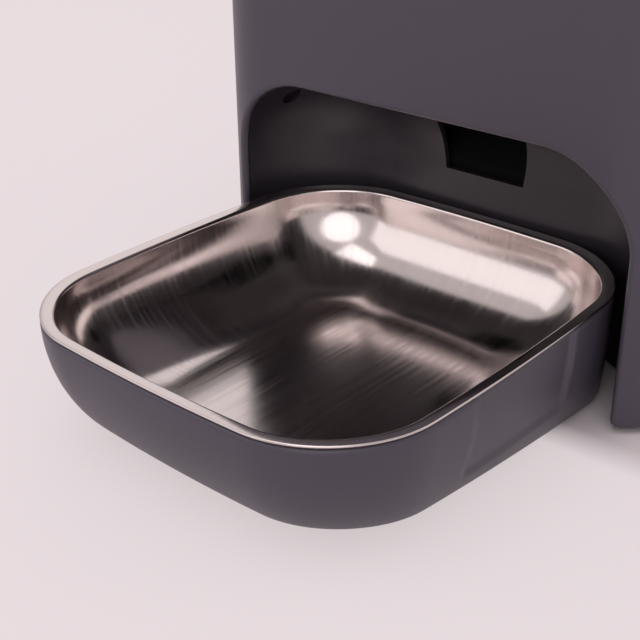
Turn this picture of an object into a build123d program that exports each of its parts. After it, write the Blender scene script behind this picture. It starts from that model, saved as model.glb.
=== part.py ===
from build123d import *
import os
from math import acos, cos, pi, radians, sin, sqrt, tan

# A smart pet feeder: a rounded square housing with an arched bay in its front, a tray with a
# pressed steel bowl that slides into the bay, and a lift-out hopper with a metering rotor and a lid.
# Millimetres. +Z is up, -Y is the front, and the origin is under the middle of the whole feeder.

os.makedirs("parts", exist_ok=True)

# Housing
body_width = 190.0
body_depth = 190.0
body_corner = 28.0
shell_wall = 2.6
foot_height = 2.0
base_edge_round = 1.6
leg_round = 2.6
arch_round_per_leg = 0.1
fit_gap = 0.3
joint_overlap = 0.5

# Tray and bay
tray_width = 146.0
tray_depth = 161.0
tray_reach = 118.0
tray_corner = 35.0
side_bow = 3.2
corner_per_inset = 0.8
rim_height = 42.0
tray_lift = 1.2
tray_wall = 2.4
tray_back_gap = 3.0
tray_side_gap = 6.0
arch_height = 89.0
arch_corner = 31.0
liner_wall = 2.2

# The tray's hull draws in towards its foot, most at the front and least at the back
hull_front_inset = 28.0
hull_side_inset = 21.0
hull_back_inset = 2.5
hull_fullness = 0.93
corner_per_draw = 0.4
hull_levels = (0.0, 0.07, 0.2, 0.36, 0.6, 1.0)
grip_depth = 0.8
grip_length = 50.0
grip_top_margin = 3.0
grip_height = 21.0
grip_from_face = 12.0
grip_corner = 9.0
tongue_width = 14.0
tongue_thick = 3.2
tongue_length = 8.0
tongue_spread = 60.0
tongue_height = 12.0
tongue_gap = 0.6

# Steel bowl
steel = 0.8
rim_width = 5.6
rim_lip = 2.4
rim_round = 1.1
bowl_depth = 34.0
bowl_draft = 3.0
bowl_round = 24.0

# Food outlet, chute and sensors
outlet_bottom = 55.0
outlet_top = 82.0
outlet_bottom_width = 33.0
outlet_top_width = 40.0
chute_wall = 2.0
chute_drop = 10.0
drop_inner_width = 18.0
drop_outer_width = 36.0
drop_near = 26.0
drop_far = 54.0
drop_gap = 1.5
drop_corner = 3.0
chute_ear = 8.0
chute_screw_spread = 20.0
sensor_radius = 3.2
sensor_height = 78.0
sensor_from_face = 20.0
sensor_gap = 0.2
sensor_back = 4.0
sensor_recess = 0.7

# Levels above the bay
deck_height = 120.0
deck_thick = 2.5
ledge_width = 4.0
ledge_thick = 3.0
rest_width = 2.0
collar_gap = 2.4
collar_wall = 1.6
shaft_hole_gap = 0.6

# Hopper and metering rotor
rotor_set_back = 3.0
well_radius = 58.5
well_wall = 3.0
well_floor = 2.5
well_gap = 2.0
rotor_height = 21.0
rotor_run = 1.0
hub_radius = 13.0
journal_radius = 10.4
journal_gap = 0.1
bush_wall = 1.5
bush_flange = 0.6
bush_flange_reach = 2.0
well_screw_count = 6
well_screw_turn = 30.0
well_screw_gap = 0.2
journal_up = 0.5
socket_space = 1.0
vane_count = 6
vane_thick = 2.2
guard_height = 3.5
guard_step = 1.6
guard_band = 3.4
guard_thick = 1.8
guard_half_angle = 66.0
guard_inset = 1.0
guard_hub_gap = 1.0
guard_hub_wall = 4.0
spoke_width = 5.0
spoke_turn = 60.0
flange_reach = 5.0
flange_thick = 2.5
funnel_height = 26.0
neck_height = 29.0
neck_gap = 0.7
hopper_height = 87.0
hopper_wall = 2.4
mouth_flange = 7.0
mouth_round = 0.8
stirrer_radius = 46.0
stirrer_thick = 5.0
stirrer_width = 7.0
stirrer_post = 8.0
stirrer_rise = 16.0
stirrer_web = 3.0
stirrer_hole_gap = 0.2
stirrer_recess_gap = 0.6
stirrer_thread = 3.5
finger_rise = 8.0
finger_taper = 4.0
arm_count = 3

# Lid and twist latch
lid_height = 25.6
lid_wall = 2.4
lid_edge_round = 7.0
skirt_depth = 11.0
skirt_gap = 0.7
skirt_wall = 2.2
seal_height = 1.8
seal_bite = 1.0
seal_round = 0.3
seal_below_mouth = 0.4
plate_gap = 0.2
lid_post_side = 21.5
lid_post_end = 13.6
knob_radius = 21.0
knob_well_depth = 8.0
knob_gap = 1.0
knob_base = 2.0
knob_rim = 1.8
knob_edge_round = 1.0
grip_bar_width = 10.0
grip_flare = 8.0
spindle_radius = 3.0
spindle_gap = 0.08
spindle_wall = 3.0
latch_room_radius = 14.4
latch_room_rise = 1.0
latch_module = 0.8
latch_teeth = 12
rack_teeth = 9
rack_lead = 3
bolt_width = 8.0
bolt_thick = 4.0
bolt_inset = 3.4
bolt_run = 0.4
bolt_nose_round = 1.5
bolt_ramp = 1.6
bolt_ramp_length = 4.5
guide_start = 29.7
guide_margin = 6.0
guide_thick = 1.6
desiccant_radius = 28.0
desiccant_depth = 16.0
desiccant_wall = 1.8
desiccant_pack_thick = 11.0
pack_gap = 3.0
pack_fullness = 0.45
pod_round = 0.8
pod_collar_wall = 1.4
pod_collar_height = 4.0
vent_radius = 1.8
vent_rings = ((7.5, 6), (15.0, 12), (21.0, 16))

# Gear drive
gear_module = 1.0
pressure_angle = radians(25)
backlash = 0.16
addendum = 0.95
dedendum = 1.15
root_spread = 0.35
root_margin = 0.05
output_teeth = 36
wheel_teeth = 36
pinion_teeth = 12
gear_face = 7.0
gear_gap = 1.5
gear_hole_radius = 2.6
gear_hole_count = 6
output_hub_radius = 3.6
idler_hub_radius = 4.2
axle_radius = 1.5
axle_gap = 0.06
axle_end = 3.0
axle_boss_radius = 3.0
axle_boss_run = 0.5
box_wall = 2.0
box_floor = 2.5
gear_room = 1.0
box_ear = 7.0
box_ear_length = 9.8
box_screw_shift = 4.0
shaft_radius = 7.4
shaft_gap = 0.1
shaft_rise = 0.5
dog_across = 12.0
dog_gap = 0.25
dog_engage = 15.0
dog_point = 1.5
dog_taper = 35.0
motor_radius = 12.2
motor_length = 22.0
gearhead_length = 12.0
motor_shaft_radius = 2.0
motor_shaft_room = 0.5
shaft_grip = 6.0
shaft_past = 1.0
motor_bore_depth = 8.0
motor_can_step = 0.5
motor_can_round = 1.5
end_boss_radius = 3.0
terminal_spread = 12.0
terminal_thick = 0.6
terminal_width = 3.0
terminal_length = 3.5
motor_screw_in = 4.0
motor_screw_shift = 3.0
motor_screw_length = 7.0
motor_screw_sink = 1.0
ear_thick = 3.5

# Batteries and boards
cell_count = 3
cell_radius = 16.6
cell_length = 60.0
cell_gap = 0.8
cell_end_radius = 4.5
cell_edge_round = 1.2
contact_space = 4.0
battery_wall = 2.0
battery_box_round = 3.0
battery_from_back = 14.0
door_gap = 0.4
door_thick = 2.4
door_corner = 1.2
groove_count = 4
groove_pitch = 11.3
groove_width = 2.4
groove_depth = 0.6
groove_margin = 15.4
thumb_radius = 9.0
thumb_depth = 1.4
cell_nipple = 1.6
contact_tab = 14.0
contact_thick = 0.5
contact_corner = 1.5
spring_radius = 5.5
spring_taper = 20.0
base_thick = 2.5
board_thick = 1.6
board_width = 70.0
board_height = 46.0
board_stand = 6.0
board_corner = 2.0
board_post_radius = 3.0
board_hole_in = 4.0
board_hole_gap = 0.1
board_below_socket = 8.0

# Pieces on the main board: place across, place above its middle, width, height and how far each stands out
board_parts = ((-12.0, 6.0, 18.0, 25.0, 2.4), (16.0, -8.0, 9.0, 9.0, 2.4), (2.0, 15.0, 8.0, 5.0, 7.0))
capacitors_at = ((24.0, 6.0), (24.0, 14.0))
capacitor_radius = 3.0
capacitor_stand = 7.0

# Power socket, feed button, light and screws
socket_width = 9.0
socket_thick = 3.4
socket_height = 60.0
socket_depth = 7.5
socket_window = 1.5
socket_metal = 0.35
socket_end = 1.0
contact_bar_width = 6.4
contact_bar_thick = 0.7
button_radius = 7.0
button_travel = 1.2
button_stand = 0.9
button_gap = 0.25
button_above_deck = 26.0
button_flange = 1.6
button_lip = 1.6
button_edge_round = 0.6
switch_height = 3.5
switch_width = 6.0
switch_body_height = 2.1
plunger_radius = 1.7
light_radius = 1.6
light_rise = 13.0
light_flange = 1.2
front_board_width = 30.0
front_board_margin = 6.0
front_hole_in = 3.6
boss_radius = 4.5
boss_height = 16.0
boss_sink = 1.0
side_post_back = 12.0
screw_radius = 1.5
screw_head = 2.8
screw_head_height = 1.8
screw_length = 9.0
screw_round = 0.5
recess_length = 2.4
recess_width = 0.7
recess_depth = 1.0

# Feet and pads
pad_width = 7.0
pad_length = 20.0
pad_corner = 2.5
pad_sink = 1.0
foot_edge_round = 0.5
foot_from_wall = 2.0
leg_foot_from_face = 32.0
rear_foot_in = 12.0

# Where things stand, worked out from the sizes above
face_y = (tray_reach - body_depth) / 2
back_y = face_y + body_depth
body_mid_y = face_y + body_depth / 2
tray_front_y = face_y - tray_reach
tray_back_y = tray_front_y + tray_depth
inner_half = body_width / 2 - shell_wall
arch_half = tray_width / 2 + tray_side_gap
bay_back_y = tray_back_y + tray_back_gap
bay_corner = tray_corner + tray_back_gap
base_top = foot_height + base_thick
tray_top = rim_height - rim_lip - fit_gap
rotor_y = body_mid_y + rotor_set_back
deck_bottom = deck_height - deck_thick
well_bottom = deck_height + well_gap
rotor_bottom = well_bottom + well_floor + rotor_run
rotor_top = rotor_bottom + rotor_height
guard_bottom = rotor_top + rotor_run
well_top = guard_bottom + guard_height
neck_bottom = well_top + funnel_height
seam_height = neck_bottom + neck_height
mouth_height = seam_height + hopper_height
lid_bottom = mouth_height + fit_gap
lid_top = lid_bottom + lid_height
skirt_bottom = lid_bottom - skirt_depth
skirt_inset = hopper_wall + mouth_flange + skirt_gap
skirt_half = body_width / 2 - skirt_inset
button_height = deck_height + button_above_deck


def bowed_outline(front_y, rear_y, half_front, half_rear, corner, bow):
    """A rounded four-sided outline whose sides swell outwards by the bow."""
    middle_half = (half_front + half_rear) / 2
    middle_y = (front_y + rear_y) / 2
    front_left = (bow - half_front, front_y + bow)
    front_right = (half_front - bow, front_y + bow)
    rear_right = (half_rear - bow, rear_y - bow)
    rear_left = (bow - half_rear, rear_y - bow)
    with BuildSketch(mode=Mode.PRIVATE) as outline:
        with BuildLine():
            ThreePointArc(front_left, (0, front_y), front_right)
            ThreePointArc(front_right, (middle_half, middle_y), rear_right)
            ThreePointArc(rear_right, (0, rear_y), rear_left)
            ThreePointArc(rear_left, (-middle_half, middle_y), front_left)
        made = make_face()
        fillet(made.vertices(), corner)
    return outline.sketch


def rim_outline(inset):
    """The rim's outline, moved inwards by the inset."""
    half = tray_width / 2 - inset
    corner = tray_corner - corner_per_inset * inset
    return bowed_outline(tray_front_y + inset, tray_back_y - inset, half, half, corner, side_bow)


def hull_outline(level, inset):
    """The tray hull's outline at a level from 0, its foot, to 1, its top edge."""
    draw_in = 1 - sqrt(1 - hull_fullness * (1 - level) ** 2)
    front = hull_front_inset * draw_in + inset
    side = hull_side_inset * draw_in + inset
    back = hull_back_inset * draw_in + inset
    return bowed_outline(
        tray_front_y + front,
        tray_back_y - back,
        tray_width / 2 - side,
        tray_width / 2 - back,
        tray_corner - corner_per_draw * front,
        side_bow,
    )


def hull_block(inset):
    """The tray's hull as a solid, with its sides moved inwards by the inset."""
    with BuildPart(mode=Mode.PRIVATE) as block:
        for level in hull_levels:
            with BuildSketch(Plane.XY.offset(tray_lift + level * (tray_top - tray_lift))):
                add(hull_outline(level, inset))
        loft()
    return block.part


def bowl_block(grow):
    """The bowl's hollow as a solid, with its sides and floor moved outwards by grow."""
    with BuildPart(mode=Mode.PRIVATE) as block:
        with BuildSketch(Plane.XY.offset(rim_height)):
            add(rim_outline(rim_width - grow))
        extrude(amount=-bowl_depth - grow, taper=bowl_draft)
        fillet(block.edges().group_by(Axis.Z)[0], bowl_round + grow)
    return block.part


def body_outline(inset, mode=Mode.ADD):
    """Draws the housing's rounded square, moved inwards by the inset."""
    RectangleRounded(body_width - 2 * inset, body_depth - 2 * inset, body_corner - inset, mode=mode)


def body_slab(inset, bottom, top):
    """A slab with the housing's outline, moved inwards by the inset."""
    with BuildPart(mode=Mode.PRIVATE) as slab:
        with BuildSketch(Plane((0, body_mid_y, bottom))):
            body_outline(inset)
        extrude(amount=top - bottom)
    return slab.part


def bay_block(grow):
    """The bay's hollow as a solid, with all its walls moved outwards by grow."""
    half = arch_half + grow
    front_y = face_y - body_corner
    rear_y = bay_back_y + grow
    with BuildPart(mode=Mode.PRIVATE) as block:
        with BuildSketch():
            with BuildLine():
                Polyline((-half, front_y), (half, front_y), (half, rear_y), (-half, rear_y), close=True)
            made = make_face()
            fillet(made.vertices().group_by(Axis.Y)[-1], bay_corner + grow)
        extrude(amount=arch_height + grow)
        top_edges = block.edges().group_by(Axis.Z)[-1]
        fillet(top_edges.sort_by(Axis.Y)[1:], arch_corner + grow)
    return block.part


def gear_outline(teeth, module, turn):
    """A spur gear's outline with involute teeth, one tooth centred on the angle turn in degrees."""
    pitch = module * teeth / 2
    base = pitch * cos(pressure_angle)
    tip = pitch + addendum * module
    root = pitch - dedendum * module
    start = max(base, root + root_margin * module)
    half_tooth = pi / 2 / teeth - backlash / 2 / pitch + tan(pressure_angle) - pressure_angle
    flank = []
    for radius in (start, pitch, tip):
        roll = acos(base / radius)
        flank.append((radius, half_tooth - (tan(roll) - roll)))
    foot = flank[0][1] + root_spread * (pi / teeth - flank[0][1])
    flank = [(root, foot)] + flank
    points = []
    for tooth in range(teeth):
        middle = radians(turn) + 2 * pi * tooth / teeth
        points += [(r * cos(middle - a), r * sin(middle - a)) for r, a in flank]
        points += [(r * cos(middle + a), r * sin(middle + a)) for r, a in reversed(flank)]
    with BuildSketch(mode=Mode.PRIVATE) as outline:
        with BuildLine():
            Polyline(*points, close=True)
        make_face()
    return outline.sketch


def drop_outline(grow):
    """The hole that portions fall through, in front of the rotor's axis."""
    near = rotor_y - drop_near + grow
    far = rotor_y - drop_far - grow
    with BuildSketch(mode=Mode.PRIVATE) as outline:
        with BuildLine():
            Polyline(
                (-drop_outer_width / 2 - grow, far),
                (drop_outer_width / 2 + grow, far),
                (drop_inner_width / 2 + grow, near),
                (-drop_inner_width / 2 - grow, near),
                close=True,
            )
        made = make_face()
        fillet(made.vertices(), drop_corner)
    return outline.sketch


def facing(way, distance):
    """A plane across an axis of the model that faces the given way, with its second axis kept upright."""
    return Plane(Vector(way) * distance, x_dir=(-1, 0, 0), z_dir=way)


def screw_group(bearing, places, length):
    """Pan-headed screws at the places on the bearing plane, with their heads on its open side."""
    with BuildPart(mode=Mode.PRIVATE) as group:
        with BuildSketch(bearing):
            with Locations(*places):
                Circle(screw_head)
        extrude(amount=screw_head_height)
        outwards = Axis(bearing.origin, bearing.z_dir)
        fillet(group.edges().group_by(outwards)[-1], screw_round)
        with BuildSketch(bearing):
            with Locations(*places):
                Circle(screw_radius)
        extrude(amount=-length)
        with BuildSketch(bearing.offset(screw_head_height)):
            with Locations(*places):
                Rectangle(recess_length, recess_width)
                Rectangle(recess_width, recess_length)
        extrude(amount=-recess_depth, mode=Mode.SUBTRACT)
    return group.part


def write(block, name):
    """Labels a finished piece and writes it."""
    block.part.label = name
    export_step(block.part, f"parts/{name}.step")


# Screw places: the rear corners, then beside the bay
post_reach = (body_corner - shell_wall - boss_radius + boss_sink) * cos(pi / 4)
rear_post_x = body_width / 2 - body_corner + post_reach
rear_post_y = back_y - body_corner + post_reach
side_post_x = inner_half - boss_radius + boss_sink
side_post_y = bay_back_y + liner_wall + boss_radius + side_post_back
posts = [(s * rear_post_x, rear_post_y) for s in (-1, 1)] + [(s * side_post_x, side_post_y) for s in (-1, 1)]

deck_posts = [(s * rear_post_x, y) for s in (-1, 1) for y in (rear_post_y, 2 * body_mid_y - rear_post_y)]

# Outer shell: the moulded sleeve with the arch in its front, one rounded edge running round the arch
# and the foot, a ledge for the deck, and screw bosses
bay_hollow = bay_block(0)
arch_round = min(base_edge_round, arch_round_per_leg * (body_width / 2 - arch_half))
light_height = button_height + light_rise
board_middle = socket_height + board_height / 2 - board_below_socket
board_hole_x = board_width / 2 - board_hole_in
board_hole_z = board_height / 2 - board_hole_in
board_holes = [(i * board_hole_x, board_middle + j * board_hole_z) for i in (-1, 1) for j in (-1, 1)]
rear_inside_y = back_y - shell_wall
front_inside_y = face_y + shell_wall
button_back_y = front_inside_y + fit_gap + button_flange
front_board_y = button_back_y + button_travel + fit_gap + switch_height
front_board_z = button_height + light_rise / 2
front_board_height = light_rise + 2 * button_radius + front_board_margin
front_hole_x = front_board_width / 2 - front_hole_in
front_holes = [(s * front_hole_x, front_board_z) for s in (-1, 1)]
with BuildPart() as outer_shell:
    add(body_slab(0, foot_height, seam_height))
    add(bay_hollow, mode=Mode.SUBTRACT)
    foot_edges = outer_shell.edges().group_by(Axis.Z)[0]
    fillet([edge for edge in foot_edges if bay_hollow.distance_to(edge @ 0.5) < fit_gap], leg_round)
    arch_crown = outer_shell.edges().filter_by(Axis.X).group_by(Axis.Y)[0].sort_by(Axis.Z)[0]
    fillet(arch_crown, arch_round)
    add(body_slab(shell_wall, foot_height, seam_height), mode=Mode.SUBTRACT)
    with BuildSketch(Plane((0, body_mid_y, deck_bottom - ledge_thick))):
        body_outline(shell_wall - joint_overlap)
        body_outline(shell_wall + ledge_width, mode=Mode.SUBTRACT)
    extrude(amount=ledge_thick)
    with BuildSketch(Plane.XY.offset(base_top + fit_gap)):
        with Locations(*posts):
            Circle(boss_radius)
    extrude(amount=boss_height)
    with BuildSketch(Plane.XY.offset(deck_bottom)):
        with Locations(*deck_posts):
            Circle(boss_radius)
    extrude(amount=-boss_height)
    with BuildSketch(Plane.XY.offset(foot_height)):
        with Locations(*posts):
            Circle(screw_radius)
    extrude(amount=boss_height, mode=Mode.SUBTRACT)
    with BuildSketch(Plane.XY.offset(deck_bottom)):
        with Locations(*deck_posts):
            Circle(screw_radius)
    extrude(amount=-boss_height, mode=Mode.SUBTRACT)
    with BuildSketch(Plane.XZ.offset(-rear_inside_y - joint_overlap)):
        with Locations(*board_holes):
            Circle(board_post_radius)
            Circle(screw_radius, mode=Mode.SUBTRACT)
    extrude(amount=board_stand + joint_overlap)
    with BuildSketch(Plane.XZ.offset(-front_inside_y + joint_overlap)):
        with Locations(*front_holes):
            Circle(board_post_radius)
            Circle(screw_radius, mode=Mode.SUBTRACT)
    extrude(amount=front_inside_y - joint_overlap - front_board_y)
    with BuildSketch(Plane.XZ.offset(-face_y)):
        with Locations((0, button_height)):
            Circle(button_radius + button_gap)
        with Locations((0, light_height)):
            Circle(light_radius + fit_gap / 2)
    extrude(amount=2 * shell_wall, both=True, mode=Mode.SUBTRACT)
    with BuildSketch(Plane.XZ.offset(-back_y)):
        with Locations((0, socket_height)):
            SlotOverall(socket_width + 2 * socket_window, socket_thick + 2 * socket_window)
    extrude(amount=2 * shell_wall, both=True, mode=Mode.SUBTRACT)
write(outer_shell, "outer_shell")

# Bay liner: the smooth pocket behind the arch, with the food outlet, two sensor eyes and tray slots
tongue_z = tray_lift + tongue_height
with BuildPart() as bay_liner:
    add(bay_block(liner_wall))
    add(bay_hollow, mode=Mode.SUBTRACT)
    add(body_slab(shell_wall + fit_gap, foot_height, arch_height + 2 * liner_wall), mode=Mode.INTERSECT)
    with BuildSketch(Plane.XZ.offset(-bay_back_y - 2 * liner_wall)):
        with BuildLine():
            Polyline(
                (-outlet_bottom_width / 2, outlet_bottom),
                (outlet_bottom_width / 2, outlet_bottom),
                (outlet_top_width / 2, outlet_top),
                (-outlet_top_width / 2, outlet_top),
                close=True,
            )
        make_face()
    extrude(amount=bay_back_y - face_y, mode=Mode.SUBTRACT)
    with BuildSketch(Plane.XZ.offset(-bay_back_y - 2 * liner_wall)):
        with Locations((-tongue_spread / 2, tongue_z), (tongue_spread / 2, tongue_z)):
            Rectangle(tongue_width + 2 * tongue_gap, tongue_thick + 2 * tongue_gap)
    extrude(amount=4 * liner_wall, mode=Mode.SUBTRACT)
    with BuildSketch(Plane.YZ):
        with Locations((face_y + sensor_from_face, sensor_height)):
            Circle(sensor_radius)
    extrude(amount=arch_half + 2 * liner_wall, both=True, mode=Mode.SUBTRACT)
write(bay_liner, "bay_liner")

# Sensor eyes: dark lenses that watch the falling food from both ends of the bay
with BuildPart() as sensor_eyes:
    with BuildSketch(Plane.YZ):
        with Locations((face_y + sensor_from_face, sensor_height)):
            Circle(sensor_radius - sensor_gap)
    extrude(amount=arch_half + liner_wall + sensor_back, both=True)
    add(body_slab(shell_wall + fit_gap, foot_height, deck_bottom), mode=Mode.INTERSECT)
    add(bay_block(sensor_recess), mode=Mode.SUBTRACT)
write(sensor_eyes, "sensor_eyes")

# Food tray: a boat-shaped hull with finger grips in its sides and two tongues at its back
grip_top = tray_top - grip_top_margin
grip_rear_y = face_y - grip_from_face
with BuildPart() as food_tray:
    add(hull_block(0))
    add(hull_block(grip_depth), mode=Mode.SUBTRACT)
    for side in (-1, 1):
        with BuildSketch(Plane.YZ.offset(side * tray_width / 4)):
            with Locations((grip_rear_y - grip_length / 2, grip_top - grip_height / 2)):
                grip = Rectangle(grip_length, grip_height)
            fillet(grip.vertices(), grip_corner)
        extrude(amount=side * tray_width / 2, mode=Mode.SUBTRACT)
    add(hull_block(grip_depth))
    with BuildSketch(Plane.XZ.offset(-tray_back_y + tray_wall + hull_back_inset)):
        with Locations((-tongue_spread / 2, tongue_z), (tongue_spread / 2, tongue_z)):
            Rectangle(tongue_width, tongue_thick)
    extrude(amount=-tray_wall - hull_back_inset - tongue_length)
    with BuildPart(mode=Mode.PRIVATE) as hull_hollow:
        add(hull_block(tray_wall))
        split(bisect_by=Plane.XY.offset(tray_lift + tray_wall), keep=Keep.TOP)
    add(hull_hollow.part, mode=Mode.SUBTRACT)

# Steel bowl: one pressing with a turned-down rim that rests on the tray
with BuildPart() as steel_bowl:
    with BuildSketch(Plane.XY.offset(rim_height - rim_lip)):
        add(rim_outline(0))
    extrude(amount=rim_lip)
    fillet(steel_bowl.edges().group_by(Axis.Z)[-1], rim_round)
    with BuildSketch(Plane.XY.offset(rim_height - rim_lip)):
        add(rim_outline(steel * 2))
    extrude(amount=rim_lip - steel, mode=Mode.SUBTRACT)
    add(bowl_block(steel))
    add(bowl_block(0), mode=Mode.SUBTRACT)
write(steel_bowl, "steel_bowl")

# Tray pads: two rubber strips let into the tray's foot
pad_y = (tray_front_y + face_y) / 2
pad_x = tray_width / 2 - hull_side_inset - pad_width
with BuildPart() as tray_pads:
    with BuildSketch():
        with Locations((-pad_x, pad_y), (pad_x, pad_y)):
            RectangleRounded(pad_width, pad_length, pad_corner)
    extrude(amount=tray_lift + pad_sink)
food_tray.part -= tray_pads.part
write(tray_pads, "tray_pads")
write(food_tray, "food_tray")

# Base plate: closes the housing from below, with the battery box standing on it
battery_width = cell_count * 2 * cell_radius + (cell_count + 1) * cell_gap
battery_depth = cell_length + 2 * contact_space
battery_y = rear_inside_y - battery_from_back - battery_depth / 2
battery_top = base_top + fit_gap + 2 * cell_radius + cell_gap
leg_foot_x = inner_half - fit_gap - pad_width / 2 - foot_from_wall
leg_foot_y = face_y + leg_foot_from_face
rear_foot_x = inner_half - rear_foot_in
rear_foot_y = battery_y
feet = [(s * leg_foot_x, leg_foot_y) for s in (-1, 1)] + [(s * rear_foot_x, rear_foot_y) for s in (-1, 1)]
with BuildPart() as base_plate:
    add(body_slab(shell_wall + fit_gap, foot_height, base_top))
    with BuildSketch(Plane((0, battery_y, foot_height))):
        RectangleRounded(
            battery_width + 2 * battery_wall, battery_depth + 2 * battery_wall, battery_box_round
        )
    extrude(amount=battery_top + battery_wall - foot_height)
    with BuildSketch(Plane((0, battery_y, foot_height))):
        Rectangle(battery_width, battery_depth)
    extrude(amount=battery_top - foot_height, mode=Mode.SUBTRACT)
    with BuildSketch(Plane.XY.offset(foot_height)):
        with Locations(*posts):
            Circle(screw_radius + fit_gap)
    extrude(amount=base_thick, mode=Mode.SUBTRACT)
    with BuildSketch(Plane.XY.offset(foot_height)):
        with Locations(*posts):
            Circle(screw_head + fit_gap)
        with Locations(*feet):
            RectangleRounded(pad_width, pad_length, pad_corner)
    extrude(amount=base_thick - pad_sink, mode=Mode.SUBTRACT)
    add(bay_block(liner_wall + fit_gap), mode=Mode.SUBTRACT)
write(base_plate, "base_plate")

# Rubber feet: one under each leg beside the bay and two behind
with BuildPart() as rubber_feet:
    with BuildSketch():
        with Locations(*feet):
            RectangleRounded(pad_width, pad_length, pad_corner)
    extrude(amount=foot_height + base_thick - pad_sink)
    fillet(rubber_feet.edges().group_by(Axis.Z)[0], foot_edge_round)
    add(bay_block(liner_wall + fit_gap), mode=Mode.SUBTRACT)
write(rubber_feet, "rubber_feet")

# Battery door: a snap-in panel with grooves to push against and a thumb notch at its rear edge
with BuildPart() as battery_door:
    with BuildSketch(Plane((0, battery_y, foot_height))):
        RectangleRounded(battery_width - 2 * door_gap, battery_depth - 2 * door_gap, door_corner)
    extrude(amount=door_thick)
    with BuildSketch(Plane((0, battery_y + battery_depth / 2 - door_gap, foot_height))):
        Circle(thumb_radius)
    extrude(amount=thumb_depth, mode=Mode.SUBTRACT)
    with BuildSketch(Plane((0, battery_y, foot_height))):
        with GridLocations(0, groove_pitch, 1, groove_count):
            SlotOverall(battery_width - 2 * groove_margin, groove_width)
    extrude(amount=groove_depth, mode=Mode.SUBTRACT)
write(battery_door, "battery_door")

# Backup cells: three large cells lying side by side, front to back
cell_z = base_top + fit_gap + cell_radius
cell_pitch = 2 * cell_radius + cell_gap
cell_body = cell_length - cell_nipple
with BuildPart() as backup_cells:
    with BuildSketch(Plane.XZ.offset(-battery_y - cell_length / 2)):
        with Locations((0, cell_z)):
            with GridLocations(cell_pitch, 0, cell_count, 1):
                Circle(cell_radius)
    extrude(amount=cell_body)
    fillet(backup_cells.edges().filter_by(GeomType.CIRCLE), cell_edge_round)
    with BuildSketch(Plane.XZ.offset(-battery_y - cell_length / 2 + cell_body)):
        with Locations((0, cell_z)):
            with GridLocations(cell_pitch, 0, cell_count, 1):
                Circle(cell_end_radius)
    extrude(amount=cell_nipple)
write(backup_cells, "backup_cells")

# Battery contacts: a flat tab at one end of each cell and a conical spring at the other
with BuildPart() as battery_contacts:
    for end in (-1, 1):
        with BuildSketch(Plane.XZ.offset(-battery_y - end * battery_depth / 2)):
            with Locations((0, cell_z)):
                with GridLocations(cell_pitch, 0, cell_count, 1):
                    RectangleRounded(contact_tab, contact_tab, contact_corner)
        extrude(amount=end * contact_thick)
        with BuildSketch(Plane.XZ.offset(-battery_y - end * battery_depth / 2)):
            with Locations((0, cell_z)):
                with GridLocations(cell_pitch, 0, cell_count, 1):
                    Circle(spring_radius)
        extrude(amount=end * contact_space, taper=spring_taper)
write(battery_contacts, "battery_contacts")

# Deck: the floor above the bay, with the portion hole, a collar round the drive and a ring the well rests on
chute_half = drop_outer_width / 2 + drop_gap
chute_front_y = rotor_y - drop_far - drop_gap
chute_rear_y = rotor_y - drop_near + drop_gap
chute_screw_x = chute_half + chute_wall + chute_ear / 2
chute_mid_y = (chute_front_y + chute_rear_y) / 2
chute_screw_y = [chute_mid_y + j * chute_screw_spread / 2 for j in (-1, 1)]
chute_screws_at = [(i * chute_screw_x, y) for i in (-1, 1) for y in chute_screw_y]
output_tip = gear_module * (output_teeth / 2 + addendum)
wheel_tip = gear_module * (wheel_teeth / 2 + addendum)
idler_y = rotor_y + gear_module * (output_teeth + pinion_teeth) / 2
motor_y = idler_y + gear_module * (wheel_teeth + pinion_teeth) / 2
box_half = max(output_tip, wheel_tip) + gear_room
box_screw_x = box_half + box_wall + box_ear / 2
box_screw_y = [axis_y + box_screw_shift for axis_y in (rotor_y, idler_y)]
box_screws_at = [(s * box_screw_x, y) for s in (-1, 1) for y in box_screw_y]
deck_holes = chute_screws_at + box_screws_at + deck_posts
with BuildPart() as deck:
    add(body_slab(shell_wall + fit_gap, deck_bottom, deck_height))
    with BuildSketch(Plane((0, rotor_y, deck_height))):
        Circle(well_radius)
        Circle(well_radius - rest_width, mode=Mode.SUBTRACT)
        Circle(shaft_radius + collar_gap + collar_wall)
        Circle(shaft_radius + collar_gap, mode=Mode.SUBTRACT)
    extrude(amount=well_gap - fit_gap)
    with BuildSketch(Plane.XY.offset(deck_bottom)):
        add(drop_outline(drop_gap))
        with Locations((0, rotor_y)):
            Circle(shaft_radius + shaft_hole_gap)
    extrude(amount=2 * deck_thick, mode=Mode.SUBTRACT)
    with BuildSketch(Plane.XY.offset(deck_bottom)):
        with Locations(*deck_holes):
            Circle(screw_radius)
    extrude(amount=deck_thick, mode=Mode.SUBTRACT)
write(deck, "deck")


def cove_y(height):
    """How far back the bay's wall is at a height in its cove."""
    above = height - (arch_height - arch_corner)
    return bay_back_y - arch_corner + sqrt(arch_corner**2 - above**2)


def chute_side(top):
    """The chute's hollow seen from the side, from the portion hole down to the outlet's sill."""
    with BuildSketch(mode=Mode.PRIVATE) as side:
        with BuildLine():
            Polyline(
                (chute_front_y, top),
                (chute_rear_y, top),
                (chute_rear_y, deck_bottom - chute_drop),
                (bay_back_y, outlet_bottom),
                (face_y + body_corner, outlet_bottom),
                (cove_y(outlet_top), outlet_top),
                close=True,
            )
        make_face()
    return side.sketch


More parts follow.
